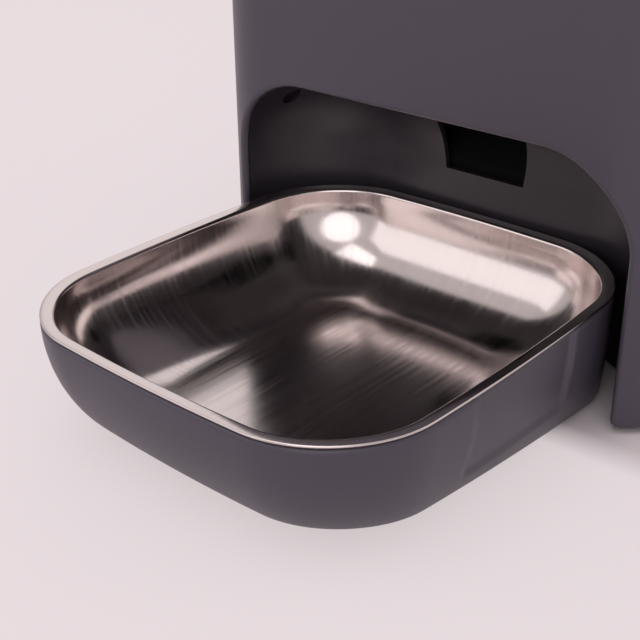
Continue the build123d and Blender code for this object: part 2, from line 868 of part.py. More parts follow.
# Chute: a duct that turns the falling food forwards through the outlet
with BuildPart() as chute:
    with BuildSketch(Plane.YZ):
        add(chute_side(deck_bottom))
        offset(amount=chute_wall, kind=Kind.INTERSECTION)
    extrude(amount=chute_half + chute_wall, both=True)
    with BuildSketch(Plane((0, chute_mid_y, deck_bottom))):
        Rectangle(2 * (chute_half + chute_wall + chute_ear), chute_rear_y - chute_front_y + 2 * chute_wall)
    extrude(amount=-chute_wall)
    split(bisect_by=Plane.XY.offset(deck_bottom), keep=Keep.BOTTOM)
    with BuildSketch(Plane.YZ):
        add(chute_side(deck_height))
    extrude(amount=chute_half, both=True, mode=Mode.SUBTRACT)
    with BuildSketch(Plane.XY.offset(deck_bottom)):
        with Locations(*chute_screws_at):
            Circle(screw_radius)
    extrude(amount=-chute_wall, mode=Mode.SUBTRACT)
    add(bay_block(liner_wall), mode=Mode.SUBTRACT)
write(chute, "chute")

# Gearbox housing: a tub hung under the deck round the three gear axes
box_top = deck_bottom - box_wall
gear_top = box_top - gear_gap
gear_middle = gear_top - gear_face - gear_gap
gear_bottom = gear_middle - gear_face
box_inside = gear_bottom - gear_gap
box_bottom = box_inside - box_floor
motor_screws_at = [(s * (motor_radius - motor_screw_in), motor_y + motor_screw_shift) for s in (-1, 1)]


def box_outline(grow, ears):
    """The gearbox's outline round its three axes, with or without its screw ears."""
    with BuildSketch(mode=Mode.PRIVATE) as outline:
        with Locations((0, rotor_y), (0, idler_y)):
            Circle(box_half + grow)
        with Locations((0, motor_y)):
            Circle(motor_radius + grow)
        make_hull()
        if ears:
            with Locations(*box_screws_at):
                Circle(box_ear / 2)
                Rectangle(box_ear_length, box_ear)
    return outline.sketch


with BuildPart() as gearbox_housing:
    with BuildSketch(Plane.XY.offset(box_bottom)):
        add(box_outline(box_wall, False))
    extrude(amount=box_top - box_bottom)
    with BuildSketch(Plane.XY.offset(box_top)):
        add(box_outline(box_wall, True))
    extrude(amount=-ear_thick)
    with BuildSketch(Plane.XY.offset(box_inside)):
        add(box_outline(0, False))
    extrude(amount=box_top - box_inside, mode=Mode.SUBTRACT)
    with BuildSketch(Plane.XY.offset(box_inside)):
        with Locations((0, rotor_y), (0, idler_y)):
            Circle(axle_boss_radius)
    extrude(amount=gear_gap - axle_boss_run)
    with BuildSketch(Plane.XY.offset(box_bottom)):
        with Locations((0, rotor_y), (0, idler_y)):
            Circle(axle_radius)
        with Locations((0, motor_y)):
            Circle(motor_shaft_radius + motor_shaft_room)
        with Locations(*motor_screws_at, *box_screws_at):
            Circle(screw_radius)
    extrude(amount=box_top - box_bottom, mode=Mode.SUBTRACT)
    with BuildSketch(Plane.XY.offset(box_inside)):
        with Locations(*motor_screws_at):
            Circle(screw_head + fit_gap)
    extrude(amount=-motor_screw_sink, mode=Mode.SUBTRACT)
write(gearbox_housing, "gearbox_housing")

# Gearbox cover: closes the tub and guides the output shaft
with BuildPart() as gearbox_cover:
    with BuildSketch(Plane.XY.offset(box_top)):
        add(box_outline(box_wall, True))
        with Locations((0, rotor_y)):
            Circle(shaft_radius + shaft_gap, mode=Mode.SUBTRACT)
        with Locations((0, idler_y)):
            Circle(axle_radius, mode=Mode.SUBTRACT)
        with Locations(*box_screws_at):
            Circle(screw_radius, mode=Mode.SUBTRACT)
    extrude(amount=box_wall)
write(gearbox_cover, "gearbox_cover")

# Gear axles: two steel pins standing in the housing's floor
output_axle_top = gear_top - axle_end
with BuildPart() as gear_axles:
    with BuildSketch(Plane.XY.offset(box_bottom)):
        with Locations((0, rotor_y)):
            Circle(axle_radius)
    extrude(amount=output_axle_top - box_bottom)
    with BuildSketch(Plane.XY.offset(box_bottom)):
        with Locations((0, idler_y)):
            Circle(axle_radius)
    extrude(amount=deck_bottom - box_bottom)
write(gear_axles, "gear_axles")


def toothed(teeth, module, turn, bore):
    """A spur gear's outline round its bore."""
    with BuildSketch(mode=Mode.PRIVATE) as outline:
        add(gear_outline(teeth, module, turn))
        Circle(bore, mode=Mode.SUBTRACT)
    return outline.sketch


# Output gear: turns the rotor through a six-sided dog that stands above the deck
shaft_top = deck_height + shaft_rise
dog_top = rotor_bottom + dog_engage
dog_radius = dog_across / 2 / cos(pi / 6)
axle_bore = axle_radius + axle_gap
with BuildPart() as output_gear:
    with BuildSketch(Plane((0, rotor_y, gear_bottom))):
        Circle(output_hub_radius)
        Circle(axle_bore, mode=Mode.SUBTRACT)
    extrude(amount=gear_top - gear_face - gear_bottom)
    with BuildSketch(Plane((0, rotor_y, gear_top - gear_face))):
        add(toothed(output_teeth, gear_module, 90, axle_bore))
        with PolarLocations((shaft_radius + output_tip) / 2, gear_hole_count):
            Circle(gear_hole_radius, mode=Mode.SUBTRACT)
    extrude(amount=gear_face)
    with BuildSketch(Plane((0, rotor_y, gear_top))):
        Circle(shaft_radius)
    extrude(amount=shaft_top - gear_top)
    with BuildSketch(Plane((0, rotor_y, shaft_top))):
        RegularPolygon(dog_radius, 6)
    extrude(amount=dog_top - dog_point - shaft_top)
    with BuildSketch(Plane((0, rotor_y, dog_top - dog_point))):
        RegularPolygon(dog_radius, 6)
    extrude(amount=dog_point, taper=dog_taper)
write(output_gear, "output_gear")

# Idler gear: a wheel and a pinion in one, between the motor and the output gear
with BuildPart() as idler_gear:
    with BuildSketch(Plane((0, idler_y, gear_bottom))):
        add(toothed(wheel_teeth, gear_module, 0, axle_bore))
        with PolarLocations((idler_hub_radius + wheel_tip) / 2, gear_hole_count):
            Circle(gear_hole_radius, mode=Mode.SUBTRACT)
    extrude(amount=gear_face)
    with BuildSketch(Plane((0, idler_y, gear_middle))):
        Circle(idler_hub_radius)
        Circle(axle_bore, mode=Mode.SUBTRACT)
    extrude(amount=gear_top - gear_face - gear_middle)
    with BuildSketch(Plane((0, idler_y, gear_top - gear_face))):
        add(toothed(pinion_teeth, gear_module, 15, axle_bore))
    extrude(amount=gear_face)
write(idler_gear, "idler_gear")

# Motor shaft and its pinion
motor_top = box_bottom
shaft_foot = motor_top - shaft_grip
with BuildPart() as motor_shaft:
    with BuildSketch(Plane((0, motor_y, shaft_foot))):
        Circle(motor_shaft_radius)
    extrude(amount=gear_middle + shaft_past - shaft_foot)
write(motor_shaft, "motor_shaft")

with BuildPart() as motor_pinion:
    with BuildSketch(Plane((0, motor_y, gear_bottom))):
        add(toothed(pinion_teeth, gear_module, 15, motor_shaft_radius))
    extrude(amount=gear_face)
write(motor_pinion, "motor_pinion")

# Gear motor: a drawn steel can under its own reduction gearhead, with two terminals
with BuildPart() as gear_motor:
    with BuildSketch(Plane((0, motor_y, motor_top))):
        Circle(motor_radius)
    extrude(amount=-gearhead_length)
    with BuildSketch(Plane((0, motor_y, motor_top - gearhead_length))):
        Circle(motor_radius - motor_can_step)
    extrude(amount=-motor_length)
    fillet(gear_motor.edges().group_by(Axis.Z)[0], motor_can_round)
    with BuildSketch(Plane((0, motor_y, motor_top - gearhead_length - motor_length))):
        Circle(end_boss_radius)
        with GridLocations(terminal_spread, 0, 2, 1):
            Rectangle(terminal_thick, terminal_width)
    extrude(amount=-terminal_length)
    with BuildSketch(Plane((0, motor_y, motor_top))):
        Circle(motor_shaft_radius + axle_gap)
    extrude(amount=-motor_bore_depth, mode=Mode.SUBTRACT)
    with BuildSketch(Plane.XY.offset(motor_top)):
        with Locations(*motor_screws_at):
            Circle(screw_radius)
    extrude(amount=-motor_bore_depth, mode=Mode.SUBTRACT)
write(gear_motor, "gear_motor")

# Rotor well: the round cup at the hopper's foot, with the portion hole in its floor
well_outer = well_radius + well_wall
flange_radius = well_outer + flange_reach
bush_radius = journal_radius + journal_gap + bush_wall
well_screw_radius = well_outer + screw_head + well_screw_gap
with BuildPart() as rotor_well:
    with BuildSketch(Plane((0, rotor_y, well_bottom))):
        Circle(well_outer)
    extrude(amount=well_top - well_bottom)
    with BuildSketch(Plane((0, rotor_y, well_top))):
        Circle(flange_radius)
    extrude(amount=-flange_thick)
    with BuildSketch(Plane((0, rotor_y, well_bottom + well_floor))):
        Circle(well_radius)
    extrude(amount=well_top - well_bottom, mode=Mode.SUBTRACT)
    with BuildSketch(Plane((0, rotor_y, guard_bottom))):
        Circle(well_radius + guard_step)
    extrude(amount=guard_height, mode=Mode.SUBTRACT)
    with BuildSketch(Plane.XY.offset(well_bottom)):
        add(drop_outline(0))
        with Locations((0, rotor_y)):
            Circle(bush_radius)
    extrude(amount=well_floor, mode=Mode.SUBTRACT)
    with BuildSketch(Plane((0, rotor_y, well_top))):
        with PolarLocations(well_screw_radius, well_screw_count, start_angle=well_screw_turn):
            Circle(screw_radius)
    extrude(amount=-flange_thick, mode=Mode.SUBTRACT)
write(rotor_well, "rotor_well")

# Well bush: a flanged ring in the well's floor that the rotor's journal turns in
with BuildPart() as well_bush:
    with BuildSketch(Plane((0, rotor_y, well_bottom))):
        Circle(bush_radius)
    extrude(amount=well_floor)
    with BuildSketch(Plane((0, rotor_y, well_bottom + well_floor))):
        Circle(bush_radius + bush_flange_reach)
    extrude(amount=bush_flange)
    with BuildSketch(Plane((0, rotor_y, well_bottom))):
        Circle(journal_radius + journal_gap)
    extrude(amount=well_floor + bush_flange, mode=Mode.SUBTRACT)
write(well_bush, "well_bush")

# Metering rotor: a hub with vanes that sweeps portions of food round to the hole
socket_radius = (dog_across / 2 + dog_gap) / cos(pi / 6)
with BuildPart() as metering_rotor:
    with BuildSketch(Plane((0, rotor_y, rotor_bottom))):
        Circle(hub_radius)
        with PolarLocations(0, vane_count, start_angle=180 / vane_count):
            with Locations((well_radius / 2, 0)):
                Rectangle(well_radius - 2 * rotor_run, vane_thick)
    extrude(amount=rotor_height)
    with BuildSketch(Plane((0, rotor_y, rotor_bottom))):
        Circle(journal_radius)
    extrude(amount=journal_up - rotor_run - well_floor)
    with BuildSketch(Plane((0, rotor_y, well_bottom))):
        RegularPolygon(socket_radius, 6)
    extrude(amount=dog_top + socket_space - well_bottom, mode=Mode.SUBTRACT)
    with BuildSketch(Plane((0, rotor_y, rotor_top))):
        Circle(screw_radius)
    extrude(amount=-stirrer_thread, mode=Mode.SUBTRACT)
write(metering_rotor, "metering_rotor")

# Rotor guard: a ring with a shield over the portion hole, so that only the rotor fills it
guard_outer = well_radius + guard_step
shield_radius = guard_outer - guard_inset
with BuildPart() as rotor_guard:
    with BuildSketch(Plane((0, rotor_y, guard_bottom))):
        Circle(guard_outer)
        Circle(guard_outer - guard_band, mode=Mode.SUBTRACT)
    extrude(amount=guard_height)
    with BuildSketch(Plane((0, rotor_y, guard_bottom))):
        with BuildLine():
            PolarLine((0, 0), shield_radius, -90 - guard_half_angle)
            CenterArc((0, 0), shield_radius, -90 - guard_half_angle, 2 * guard_half_angle)
            PolarLine((0, 0), shield_radius, -90 + guard_half_angle)
        make_face()
        Circle(stirrer_post + guard_hub_gap + guard_hub_wall)
        with PolarLocations(shield_radius / 2, 2, start_angle=spoke_turn, angular_range=180 - 2 * spoke_turn):
            Rectangle(shield_radius, spoke_width)
        Circle(stirrer_post + guard_hub_gap, mode=Mode.SUBTRACT)
    extrude(amount=guard_thick)
write(rotor_guard, "rotor_guard")

# Stirrer: three arms on a post above the rotor that keep the food from bridging
with BuildPart() as stirrer:
    with BuildSketch(Plane((0, rotor_y, rotor_top))):
        Circle(stirrer_post)
    extrude(amount=stirrer_rise)
    with BuildSketch(Plane((0, rotor_y, rotor_top + stirrer_rise - stirrer_thick))):
        with PolarLocations(0, arm_count):
            with Locations((stirrer_radius / 2, 0)):
                SlotOverall(stirrer_radius, stirrer_width)
    extrude(amount=stirrer_thick)
    with BuildSketch(Plane((0, rotor_y, rotor_top + stirrer_rise - stirrer_thick))):
        with PolarLocations(stirrer_radius - stirrer_width / 2, arm_count):
            Circle(stirrer_width / 2)
    extrude(amount=stirrer_thick + finger_rise, taper=finger_taper)
    with BuildSketch(Plane((0, rotor_y, rotor_top))):
        Circle(screw_radius + stirrer_hole_gap)
    extrude(amount=stirrer_rise, mode=Mode.SUBTRACT)
    with BuildSketch(Plane((0, rotor_y, rotor_top + stirrer_rise))):
        Circle(screw_head + stirrer_recess_gap)
    extrude(amount=stirrer_web - stirrer_rise, mode=Mode.SUBTRACT)
write(stirrer, "stirrer")

# Hopper: one clear moulding, a funnel and neck inside the housing and a square tank above it
neck_inset = shell_wall + neck_gap
tank_foot = seam_height + fit_gap + hopper_wall
flange_foot = mouth_height - flange_thick
with BuildPart() as hopper_tank:
    with BuildSketch(Plane((0, rotor_y, well_top))):
        Circle(well_outer)
    with BuildSketch(Plane((0, body_mid_y, neck_bottom))):
        body_outline(neck_inset)
    loft()
    with BuildSketch(Plane((0, rotor_y, well_top))):
        Circle(flange_radius)
    extrude(amount=flange_thick)
    add(body_slab(neck_inset, neck_bottom, seam_height + fit_gap))
    add(body_slab(0, seam_height + fit_gap, mouth_height))
    fillet(hopper_tank.edges().group_by(Axis.Z)[-1], mouth_round)
    with BuildSketch(Plane((0, rotor_y, well_top))):
        Circle(guard_outer)
    with BuildSketch(Plane((0, body_mid_y, neck_bottom))):
        body_outline(neck_inset + hopper_wall)
    loft(mode=Mode.SUBTRACT)
    add(body_slab(neck_inset + hopper_wall, neck_bottom, tank_foot), mode=Mode.SUBTRACT)
    add(body_slab(hopper_wall, tank_foot, flange_foot), mode=Mode.SUBTRACT)
    add(body_slab(hopper_wall + mouth_flange, flange_foot, mouth_height), mode=Mode.SUBTRACT)
    with BuildSketch(Plane((0, rotor_y, well_top))):
        with PolarLocations(well_screw_radius, well_screw_count, start_angle=well_screw_turn):
            Circle(screw_radius)
    extrude(amount=flange_thick, mode=Mode.SUBTRACT)
write(hopper_tank, "hopper_tank")

# Lid: a rounded cap with a skirt that plugs into the hopper's mouth and a well for the knob
lid_inside = lid_top - lid_wall
knob_floor = lid_top - knob_well_depth
knob_well_radius = knob_radius + knob_gap
plate_top = skirt_bottom + flange_thick
lid_post_x = skirt_half - lid_post_side
lid_post_y = body_depth / 2 - skirt_inset - lid_post_end
lid_posts = [(i * lid_post_x, body_mid_y + j * lid_post_y) for i in (-1, 1) for j in (-1, 1)]
pitch_radius = latch_module * latch_teeth / 2
rack_root = pitch_radius + dedendum * latch_module
bolt_bottom = plate_top + bolt_run
bolt_side = rack_root + bolt_width / 2
seal_top = mouth_height - seal_below_mouth
with BuildPart() as lid:
    add(body_slab(0, lid_bottom, lid_top))
    fillet(lid.edges().group_by(Axis.Z)[-1], lid_edge_round)
    add(body_slab(lid_wall, lid_bottom, lid_inside), mode=Mode.SUBTRACT)
    with BuildSketch(Plane((0, body_mid_y, skirt_bottom))):
        body_outline(skirt_inset)
        body_outline(skirt_inset + skirt_wall, mode=Mode.SUBTRACT)
    extrude(amount=lid_inside + joint_overlap - skirt_bottom)
    with BuildSketch(Plane((0, body_mid_y, knob_floor - knob_base))):
        Circle(knob_well_radius + lid_wall)
        with Locations(*[(x, y - body_mid_y) for x, y in lid_posts]):
            Circle(boss_radius)
    extrude(amount=lid_inside + joint_overlap - knob_floor + knob_base)
    with BuildSketch(Plane.XY.offset(plate_top)):
        with Locations(*lid_posts):
            Circle(boss_radius)
        with Locations((0, body_mid_y)):
            Circle(spindle_radius + spindle_wall)
    extrude(amount=knob_floor - plate_top)
    with BuildSketch(Plane((0, body_mid_y, plate_top))):
        Circle(latch_room_radius)
    extrude(amount=bolt_thick + 2 * bolt_run + latch_room_rise, mode=Mode.SUBTRACT)
    with BuildSketch(Plane((0, body_mid_y, knob_floor))):
        Circle(knob_well_radius)
    extrude(amount=knob_well_depth, mode=Mode.SUBTRACT)
    with BuildSketch(Plane((0, body_mid_y, plate_top))):
        Circle(spindle_radius + spindle_gap)
    extrude(amount=knob_floor - plate_top, mode=Mode.SUBTRACT)
    with BuildSketch(Plane.XY.offset(plate_top)):
        with Locations(*lid_posts):
            Circle(screw_radius)
    extrude(amount=screw_length, mode=Mode.SUBTRACT)
    for side in (-1, 1):
        with BuildSketch(Plane.YZ):
            with Locations((body_mid_y - side * bolt_side, bolt_bottom + bolt_thick / 2)):
                Rectangle(bolt_width + 2 * bolt_run, bolt_thick + 2 * bolt_run)
        extrude(amount=side * (body_width / 2 - hopper_wall), mode=Mode.SUBTRACT)
    with BuildSketch(Plane((0, body_mid_y, seal_top - seal_height))):
        body_outline(skirt_inset - seal_bite)
        body_outline(skirt_inset + seal_bite, mode=Mode.SUBTRACT)
    extrude(amount=seal_height, mode=Mode.SUBTRACT)
write(lid, "lid")

# Lid seal: a soft ring let into the skirt, with a lip towards the hopper's mouth
seal_out = skirt_inset - (skirt_gap - fit_gap)
seal_in = skirt_inset + seal_bite
with BuildPart() as lid_seal:
    add(body_slab(seal_out, seal_top - seal_height, seal_top))
    fillet(lid_seal.edges().filter_by(Axis.Z, reverse=True), seal_round)
    add(body_slab(seal_in, seal_top - seal_height, seal_top), mode=Mode.SUBTRACT)
write(lid_seal, "lid_seal")

# Lid plate: closes the skirt from below, guides the bolts and carries the drying pod's tube
plate_inset = skirt_inset + skirt_wall + plate_gap
pod_bottom = skirt_bottom - desiccant_depth
guide_length = body_width / 2 - plate_inset - guide_margin - guide_start
with BuildPart() as lid_plate:
    add(body_slab(plate_inset, skirt_bottom, plate_top))
    with BuildSketch(Plane((0, body_mid_y, skirt_bottom))):
        Circle(desiccant_radius)
        Circle(desiccant_radius - desiccant_wall, mode=Mode.SUBTRACT)
    extrude(amount=-desiccant_depth)
    with BuildSketch(Plane((0, body_mid_y, plate_top))):
        for side in (-1, 1):
            for edge in (-1, 1):
                across = bolt_side + edge * (bolt_width / 2 + bolt_run + guide_thick / 2)
                with Locations((-side * (guide_start + guide_length / 2), side * across)):
                    Rectangle(guide_length, guide_thick)
    extrude(amount=bolt_thick)
    with BuildSketch(Plane.XY.offset(skirt_bottom)):
        with Locations(*lid_posts):
            Circle(screw_radius)
    extrude(amount=flange_thick, mode=Mode.SUBTRACT)
write(lid_plate, "lid_plate")

# Twist knob: a dished disc with a grip bar, on a spindle that reaches down to the bolts
knob_bottom = knob_floor + fit_gap
knob_top = lid_top - fit_gap
grip_depth_down = knob_top - knob_bottom - knob_base
with BuildPart() as twist_knob:
    with BuildSketch(Plane((0, body_mid_y, knob_bottom))):
        Circle(knob_radius)
    extrude(amount=knob_top - knob_bottom)
    fillet(twist_knob.edges().group_by(Axis.Z)[-1], knob_edge_round)
    with BuildSketch(Plane((0, body_mid_y, knob_top))):
        Circle(knob_radius - knob_rim)
        Rectangle(2 * knob_radius, grip_bar_width, mode=Mode.SUBTRACT)
    extrude(amount=-grip_depth_down, taper=-grip_flare, mode=Mode.SUBTRACT)
    with BuildSketch(Plane((0, body_mid_y, plate_top + bolt_run))):
        Circle(spindle_radius)
    extrude(amount=knob_bottom - plate_top - bolt_run)
write(twist_knob, "twist_knob")

# Latch pinion: turns with the knob and drives both bolts
with BuildPart() as latch_pinion:
    with BuildSketch(Plane((0, body_mid_y, bolt_bottom))):
        add(toothed(latch_teeth, latch_module, 0, spindle_radius))
    extrude(amount=bolt_thick)
write(latch_pinion, "latch_pinion")


def latch_bolt(turn):
    """A bolt with a rack along its inner side and a ramp on its nose, turned about the knob's axis."""
    pitch = pi * latch_module
    tip_y = pitch_radius - addendum * latch_module
    back_y_of_bolt = rack_root + bolt_width
    slope = tan(pressure_angle)
    half_at_pitch = (pitch - backlash) / 4
    half_tip = half_at_pitch - slope * addendum * latch_module
    half_root = half_at_pitch + slope * dedendum * latch_module
    nose_x = bolt_inset - skirt_half
    bar_end = (rack_teeth - rack_lead + 0.5) * pitch
    points = [(nose_x, back_y_of_bolt), (nose_x, rack_root)]
    for tooth in range(-rack_lead, rack_teeth - rack_lead):
        middle = (tooth + 0.5) * pitch
        points.append((middle - half_root, rack_root))
        points.append((middle - half_tip, tip_y))
        points.append((middle + half_tip, tip_y))
        points.append((middle + half_root, rack_root))
    points += [(bar_end, rack_root), (bar_end, back_y_of_bolt)]
    with BuildPart(mode=Mode.PRIVATE) as bolt:
        with BuildSketch(Plane((0, body_mid_y, bolt_bottom))):
            with BuildLine():
                Polyline(*points, close=True)
            make_face()
        extrude(amount=bolt_thick)
        nose = bolt.edges().filter_by(Axis.Z).group_by(Axis.X)[0]
        fillet(nose, bolt_nose_round)
        bolt_top = bolt_bottom + bolt_thick
        with BuildSketch(Plane.XZ.offset(-body_mid_y)):
            with BuildLine():
                Polyline(
                    (nose_x, bolt_top),
                    (nose_x, bolt_top - bolt_ramp),
                    (nose_x + bolt_ramp_length, bolt_top),
                    close=True,
                )
            make_face()
        extrude(amount=back_y_of_bolt, both=True, mode=Mode.SUBTRACT)
    return bolt.part.rotate(Axis((0, body_mid_y, 0), (0, 0, 1)), turn)


# Latch bolts: slide out of the skirt, under the flange of the hopper's mouth
with BuildPart() as left_bolt:
    add(latch_bolt(0))
write(left_bolt, "left_bolt")

with BuildPart() as right_bolt:
    add(latch_bolt(180))
write(right_bolt, "right_bolt")

# Drying pod: a vented cap under the lid plate's tube, with a bag of drying beads in it
cap_top = pod_bottom - fit_gap
collar_radius = desiccant_radius - desiccant_wall - fit_gap
with BuildPart() as desiccant_cover:
    with BuildSketch(Plane((0, body_mid_y, cap_top))):
        Circle(desiccant_radius)
    extrude(amount=-desiccant_wall)
    fillet(desiccant_cover.edges().group_by(Axis.Z)[0], pod_round)
    with BuildSketch(Plane((0, body_mid_y, cap_top))):
        Circle(collar_radius)
        Circle(collar_radius - pod_collar_wall, mode=Mode.SUBTRACT)
    extrude(amount=pod_collar_height)
    with BuildSketch(Plane((0, body_mid_y, cap_top))):
        for ring, vents in vent_rings:
            with PolarLocations(ring, vents):
                Circle(vent_radius)
    extrude(amount=-desiccant_wall, mode=Mode.SUBTRACT)
write(desiccant_cover, "desiccant_cover")

with BuildPart() as desiccant_pack:
    with BuildSketch(Plane((0, body_mid_y, cap_top))):
        Circle(collar_radius - pack_gap)
    extrude(amount=desiccant_pack_thick)
    fillet(desiccant_pack.edges(), desiccant_pack_thick * pack_fullness)
write(desiccant_pack, "desiccant_pack")

# Main board: stands behind the battery box on four posts, with the power socket at its foot
board_y = rear_inside_y - board_stand
with BuildPart() as main_board:
    with BuildSketch(Plane.XZ.offset(-board_y)):
        with Locations((0, board_middle)):
            RectangleRounded(board_width, board_height, board_corner)
        with Locations(*board_holes):
            Circle(screw_radius + board_hole_gap, mode=Mode.SUBTRACT)
    extrude(amount=board_thick)
    for across, above, width, height, stand in board_parts:
        with BuildSketch(Plane.XZ.offset(-board_y + board_thick)):
            with Locations((across, board_middle + above)):
                Rectangle(width, height)
        extrude(amount=stand)
    with BuildSketch(Plane.XZ.offset(-board_y + board_thick)):
        with Locations(*[(across, board_middle + above) for across, above in capacitors_at]):
            Circle(capacitor_radius)
    extrude(amount=capacitor_stand)
write(main_board, "main_board")

with BuildPart() as power_socket:
    with BuildSketch(Plane.XZ.offset(-board_y)):
        with Locations((0, socket_height)):
            SlotOverall(socket_width, socket_thick)
    extrude(amount=-socket_depth)
    with BuildSketch(Plane.XZ.offset(-board_y - socket_depth)):
        with Locations((0, socket_height)):
            SlotOverall(socket_width - 2 * socket_metal, socket_thick - 2 * socket_metal)
            Rectangle(contact_bar_width, contact_bar_thick, mode=Mode.SUBTRACT)
    extrude(amount=socket_depth - socket_end, mode=Mode.SUBTRACT)
write(power_socket, "power_socket")

# Feed button, its switch, the status light and the small board behind them
with BuildPart() as feed_button:
    with BuildSketch(Plane.XZ.offset(-face_y + button_stand)):
        with Locations((0, button_height)):
            Circle(button_radius)
    extrude(amount=face_y - button_stand - button_back_y)
    fillet(feed_button.edges().group_by(Axis.Y)[0], button_edge_round)
    with BuildSketch(Plane.XZ.offset(-button_back_y)):
        with Locations((0, button_height)):
            Circle(button_radius + button_lip)
    extrude(amount=button_flange)
write(feed_button, "feed_button")

with BuildPart() as front_board:
    with BuildSketch(Plane.XZ.offset(-front_board_y)):
        with Locations((0, front_board_z)):
            RectangleRounded(front_board_width, front_board_height, board_corner)
        with Locations(*front_holes):
            Circle(screw_radius + board_hole_gap, mode=Mode.SUBTRACT)
    extrude(amount=-board_thick)
write(front_board, "front_board")

with BuildPart() as button_switch:
    with BuildSketch(Plane.XZ.offset(-front_board_y)):
        with Locations((0, button_height)):
            Rectangle(switch_width, switch_width)
    extrude(amount=switch_body_height)
    with BuildSketch(Plane.XZ.offset(-front_board_y)):
        with Locations((0, button_height)):
            Circle(plunger_radius)
    extrude(amount=switch_height)
write(button_switch, "button_switch")

with BuildPart() as light_guide:
    with BuildSketch(Plane.XZ.offset(-front_board_y)):
        with Locations((0, light_height)):
            Circle(light_radius)
    extrude(amount=front_board_y - face_y)
    with BuildSketch(Plane.XZ.offset(-front_board_y)):
        with Locations((0, light_height)):
            Circle(light_radius + light_flange)
    extrude(amount=front_board_y - front_inside_y)
write(light_guide, "light_guide")

# Fasteners, each kind in one group
well_turns = [radians(well_screw_turn + 360 * k / well_screw_count) for k in range(well_screw_count)]
well_screws_at = [(well_screw_radius * cos(a), rotor_y + well_screw_radius * sin(a)) for a in well_turns]
down = (0, 0, -1)
rear = (0, 1, 0)
ear_bottom = box_top - ear_thick
chute_screw_length = chute_wall + deck_thick - fit_gap
box_screw_length = deck_height - ear_bottom - fit_gap
well_screw_length = 2 * flange_thick - fit_gap
stirrer_screw_length = stirrer_web + stirrer_thread - fit_gap
main_board_screw_length = board_thick + board_stand - fit_gap
front_board_screw_length = board_thick + front_board_y - front_inside_y - fit_gap
fasteners = {
    "base_screws": (facing(down, pad_sink - base_top), posts, screw_length),
    "deck_screws": (Plane.XY.offset(deck_height), deck_posts, screw_length),
    "chute_screws": (facing(down, chute_wall - deck_bottom), chute_screws_at, chute_screw_length),
    "gearbox_screws": (facing(down, -ear_bottom), box_screws_at, box_screw_length),
    "motor_screws": (Plane.XY.offset(box_inside - motor_screw_sink), motor_screws_at, motor_screw_length),
    "well_screws": (facing(down, flange_thick - well_top), well_screws_at, well_screw_length),
    "stirrer_screw": (Plane.XY.offset(rotor_top + stirrer_web), [(0, rotor_y)], stirrer_screw_length),
    "lid_screws": (facing(down, -skirt_bottom), lid_posts, screw_length),
    "main_board_screws": (Plane.XZ.offset(board_thick - board_y), board_holes, main_board_screw_length),
    "front_board_screws": (
        facing(rear, front_board_y + board_thick),
        front_holes,
        front_board_screw_length,
    ),
}
for name, (bearing, places, length) in fasteners.items():
    with BuildPart() as screws:
        add(screw_group(bearing, places, length))
    write(screws, name)
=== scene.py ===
import bpy
import bmesh
import math
from mathutils import Matrix, Vector


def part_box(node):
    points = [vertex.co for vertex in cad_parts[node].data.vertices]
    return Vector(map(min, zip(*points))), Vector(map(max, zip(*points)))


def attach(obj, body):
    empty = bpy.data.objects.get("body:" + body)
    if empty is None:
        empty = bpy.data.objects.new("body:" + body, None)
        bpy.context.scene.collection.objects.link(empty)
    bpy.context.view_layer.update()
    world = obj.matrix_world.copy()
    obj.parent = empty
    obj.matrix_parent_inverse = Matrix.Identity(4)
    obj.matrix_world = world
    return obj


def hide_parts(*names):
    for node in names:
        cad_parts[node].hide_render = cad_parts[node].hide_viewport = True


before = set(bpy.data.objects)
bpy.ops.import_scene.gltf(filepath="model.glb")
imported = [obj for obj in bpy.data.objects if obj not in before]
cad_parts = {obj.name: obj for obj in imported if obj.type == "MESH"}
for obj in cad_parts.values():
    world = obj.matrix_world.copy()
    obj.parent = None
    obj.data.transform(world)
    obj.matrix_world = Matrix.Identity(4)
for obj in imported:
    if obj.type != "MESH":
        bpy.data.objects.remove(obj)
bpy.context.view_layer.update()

# The camera stands in front and to the right, about level with the top of the housing, and looks
# down into the bowl through a short portrait lens.
MM = 0.001
shell_low, shell_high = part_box("outer_shell")
camera_place = Vector((214.7 * MM, shell_low.y - 286.2 * MM, 199.8 * MM))
camera_turn = math.radians(41.54)
camera_dip = math.radians(27.33)
camera_lean = math.radians(-0.578)
camera = bpy.data.objects.new("camera", bpy.data.cameras.new("camera"))
bpy.context.scene.collection.objects.link(camera)
camera.data.sensor_width = 36
camera.data.lens = 64.5
camera.data.clip_end = 50
camera.matrix_world = (
    Matrix.Translation(camera_place)
    @ Matrix.Rotation(camera_turn, 4, "Z")
    @ Matrix.Rotation(math.pi / 2 - camera_dip, 4, "X")
    @ Matrix.Rotation(camera_lean, 4, "Z")
)
bpy.context.scene.camera = camera


# The studio's lamps: a wide soft box stands in front on the left and a round, brighter one on the
# right, with one overhead and two dim ones behind. All are aimed at the tray.
LAMP_COLOUR = (1.0, 0.965, 0.97)
LAMP_AIM_HEIGHT = 50 * MM


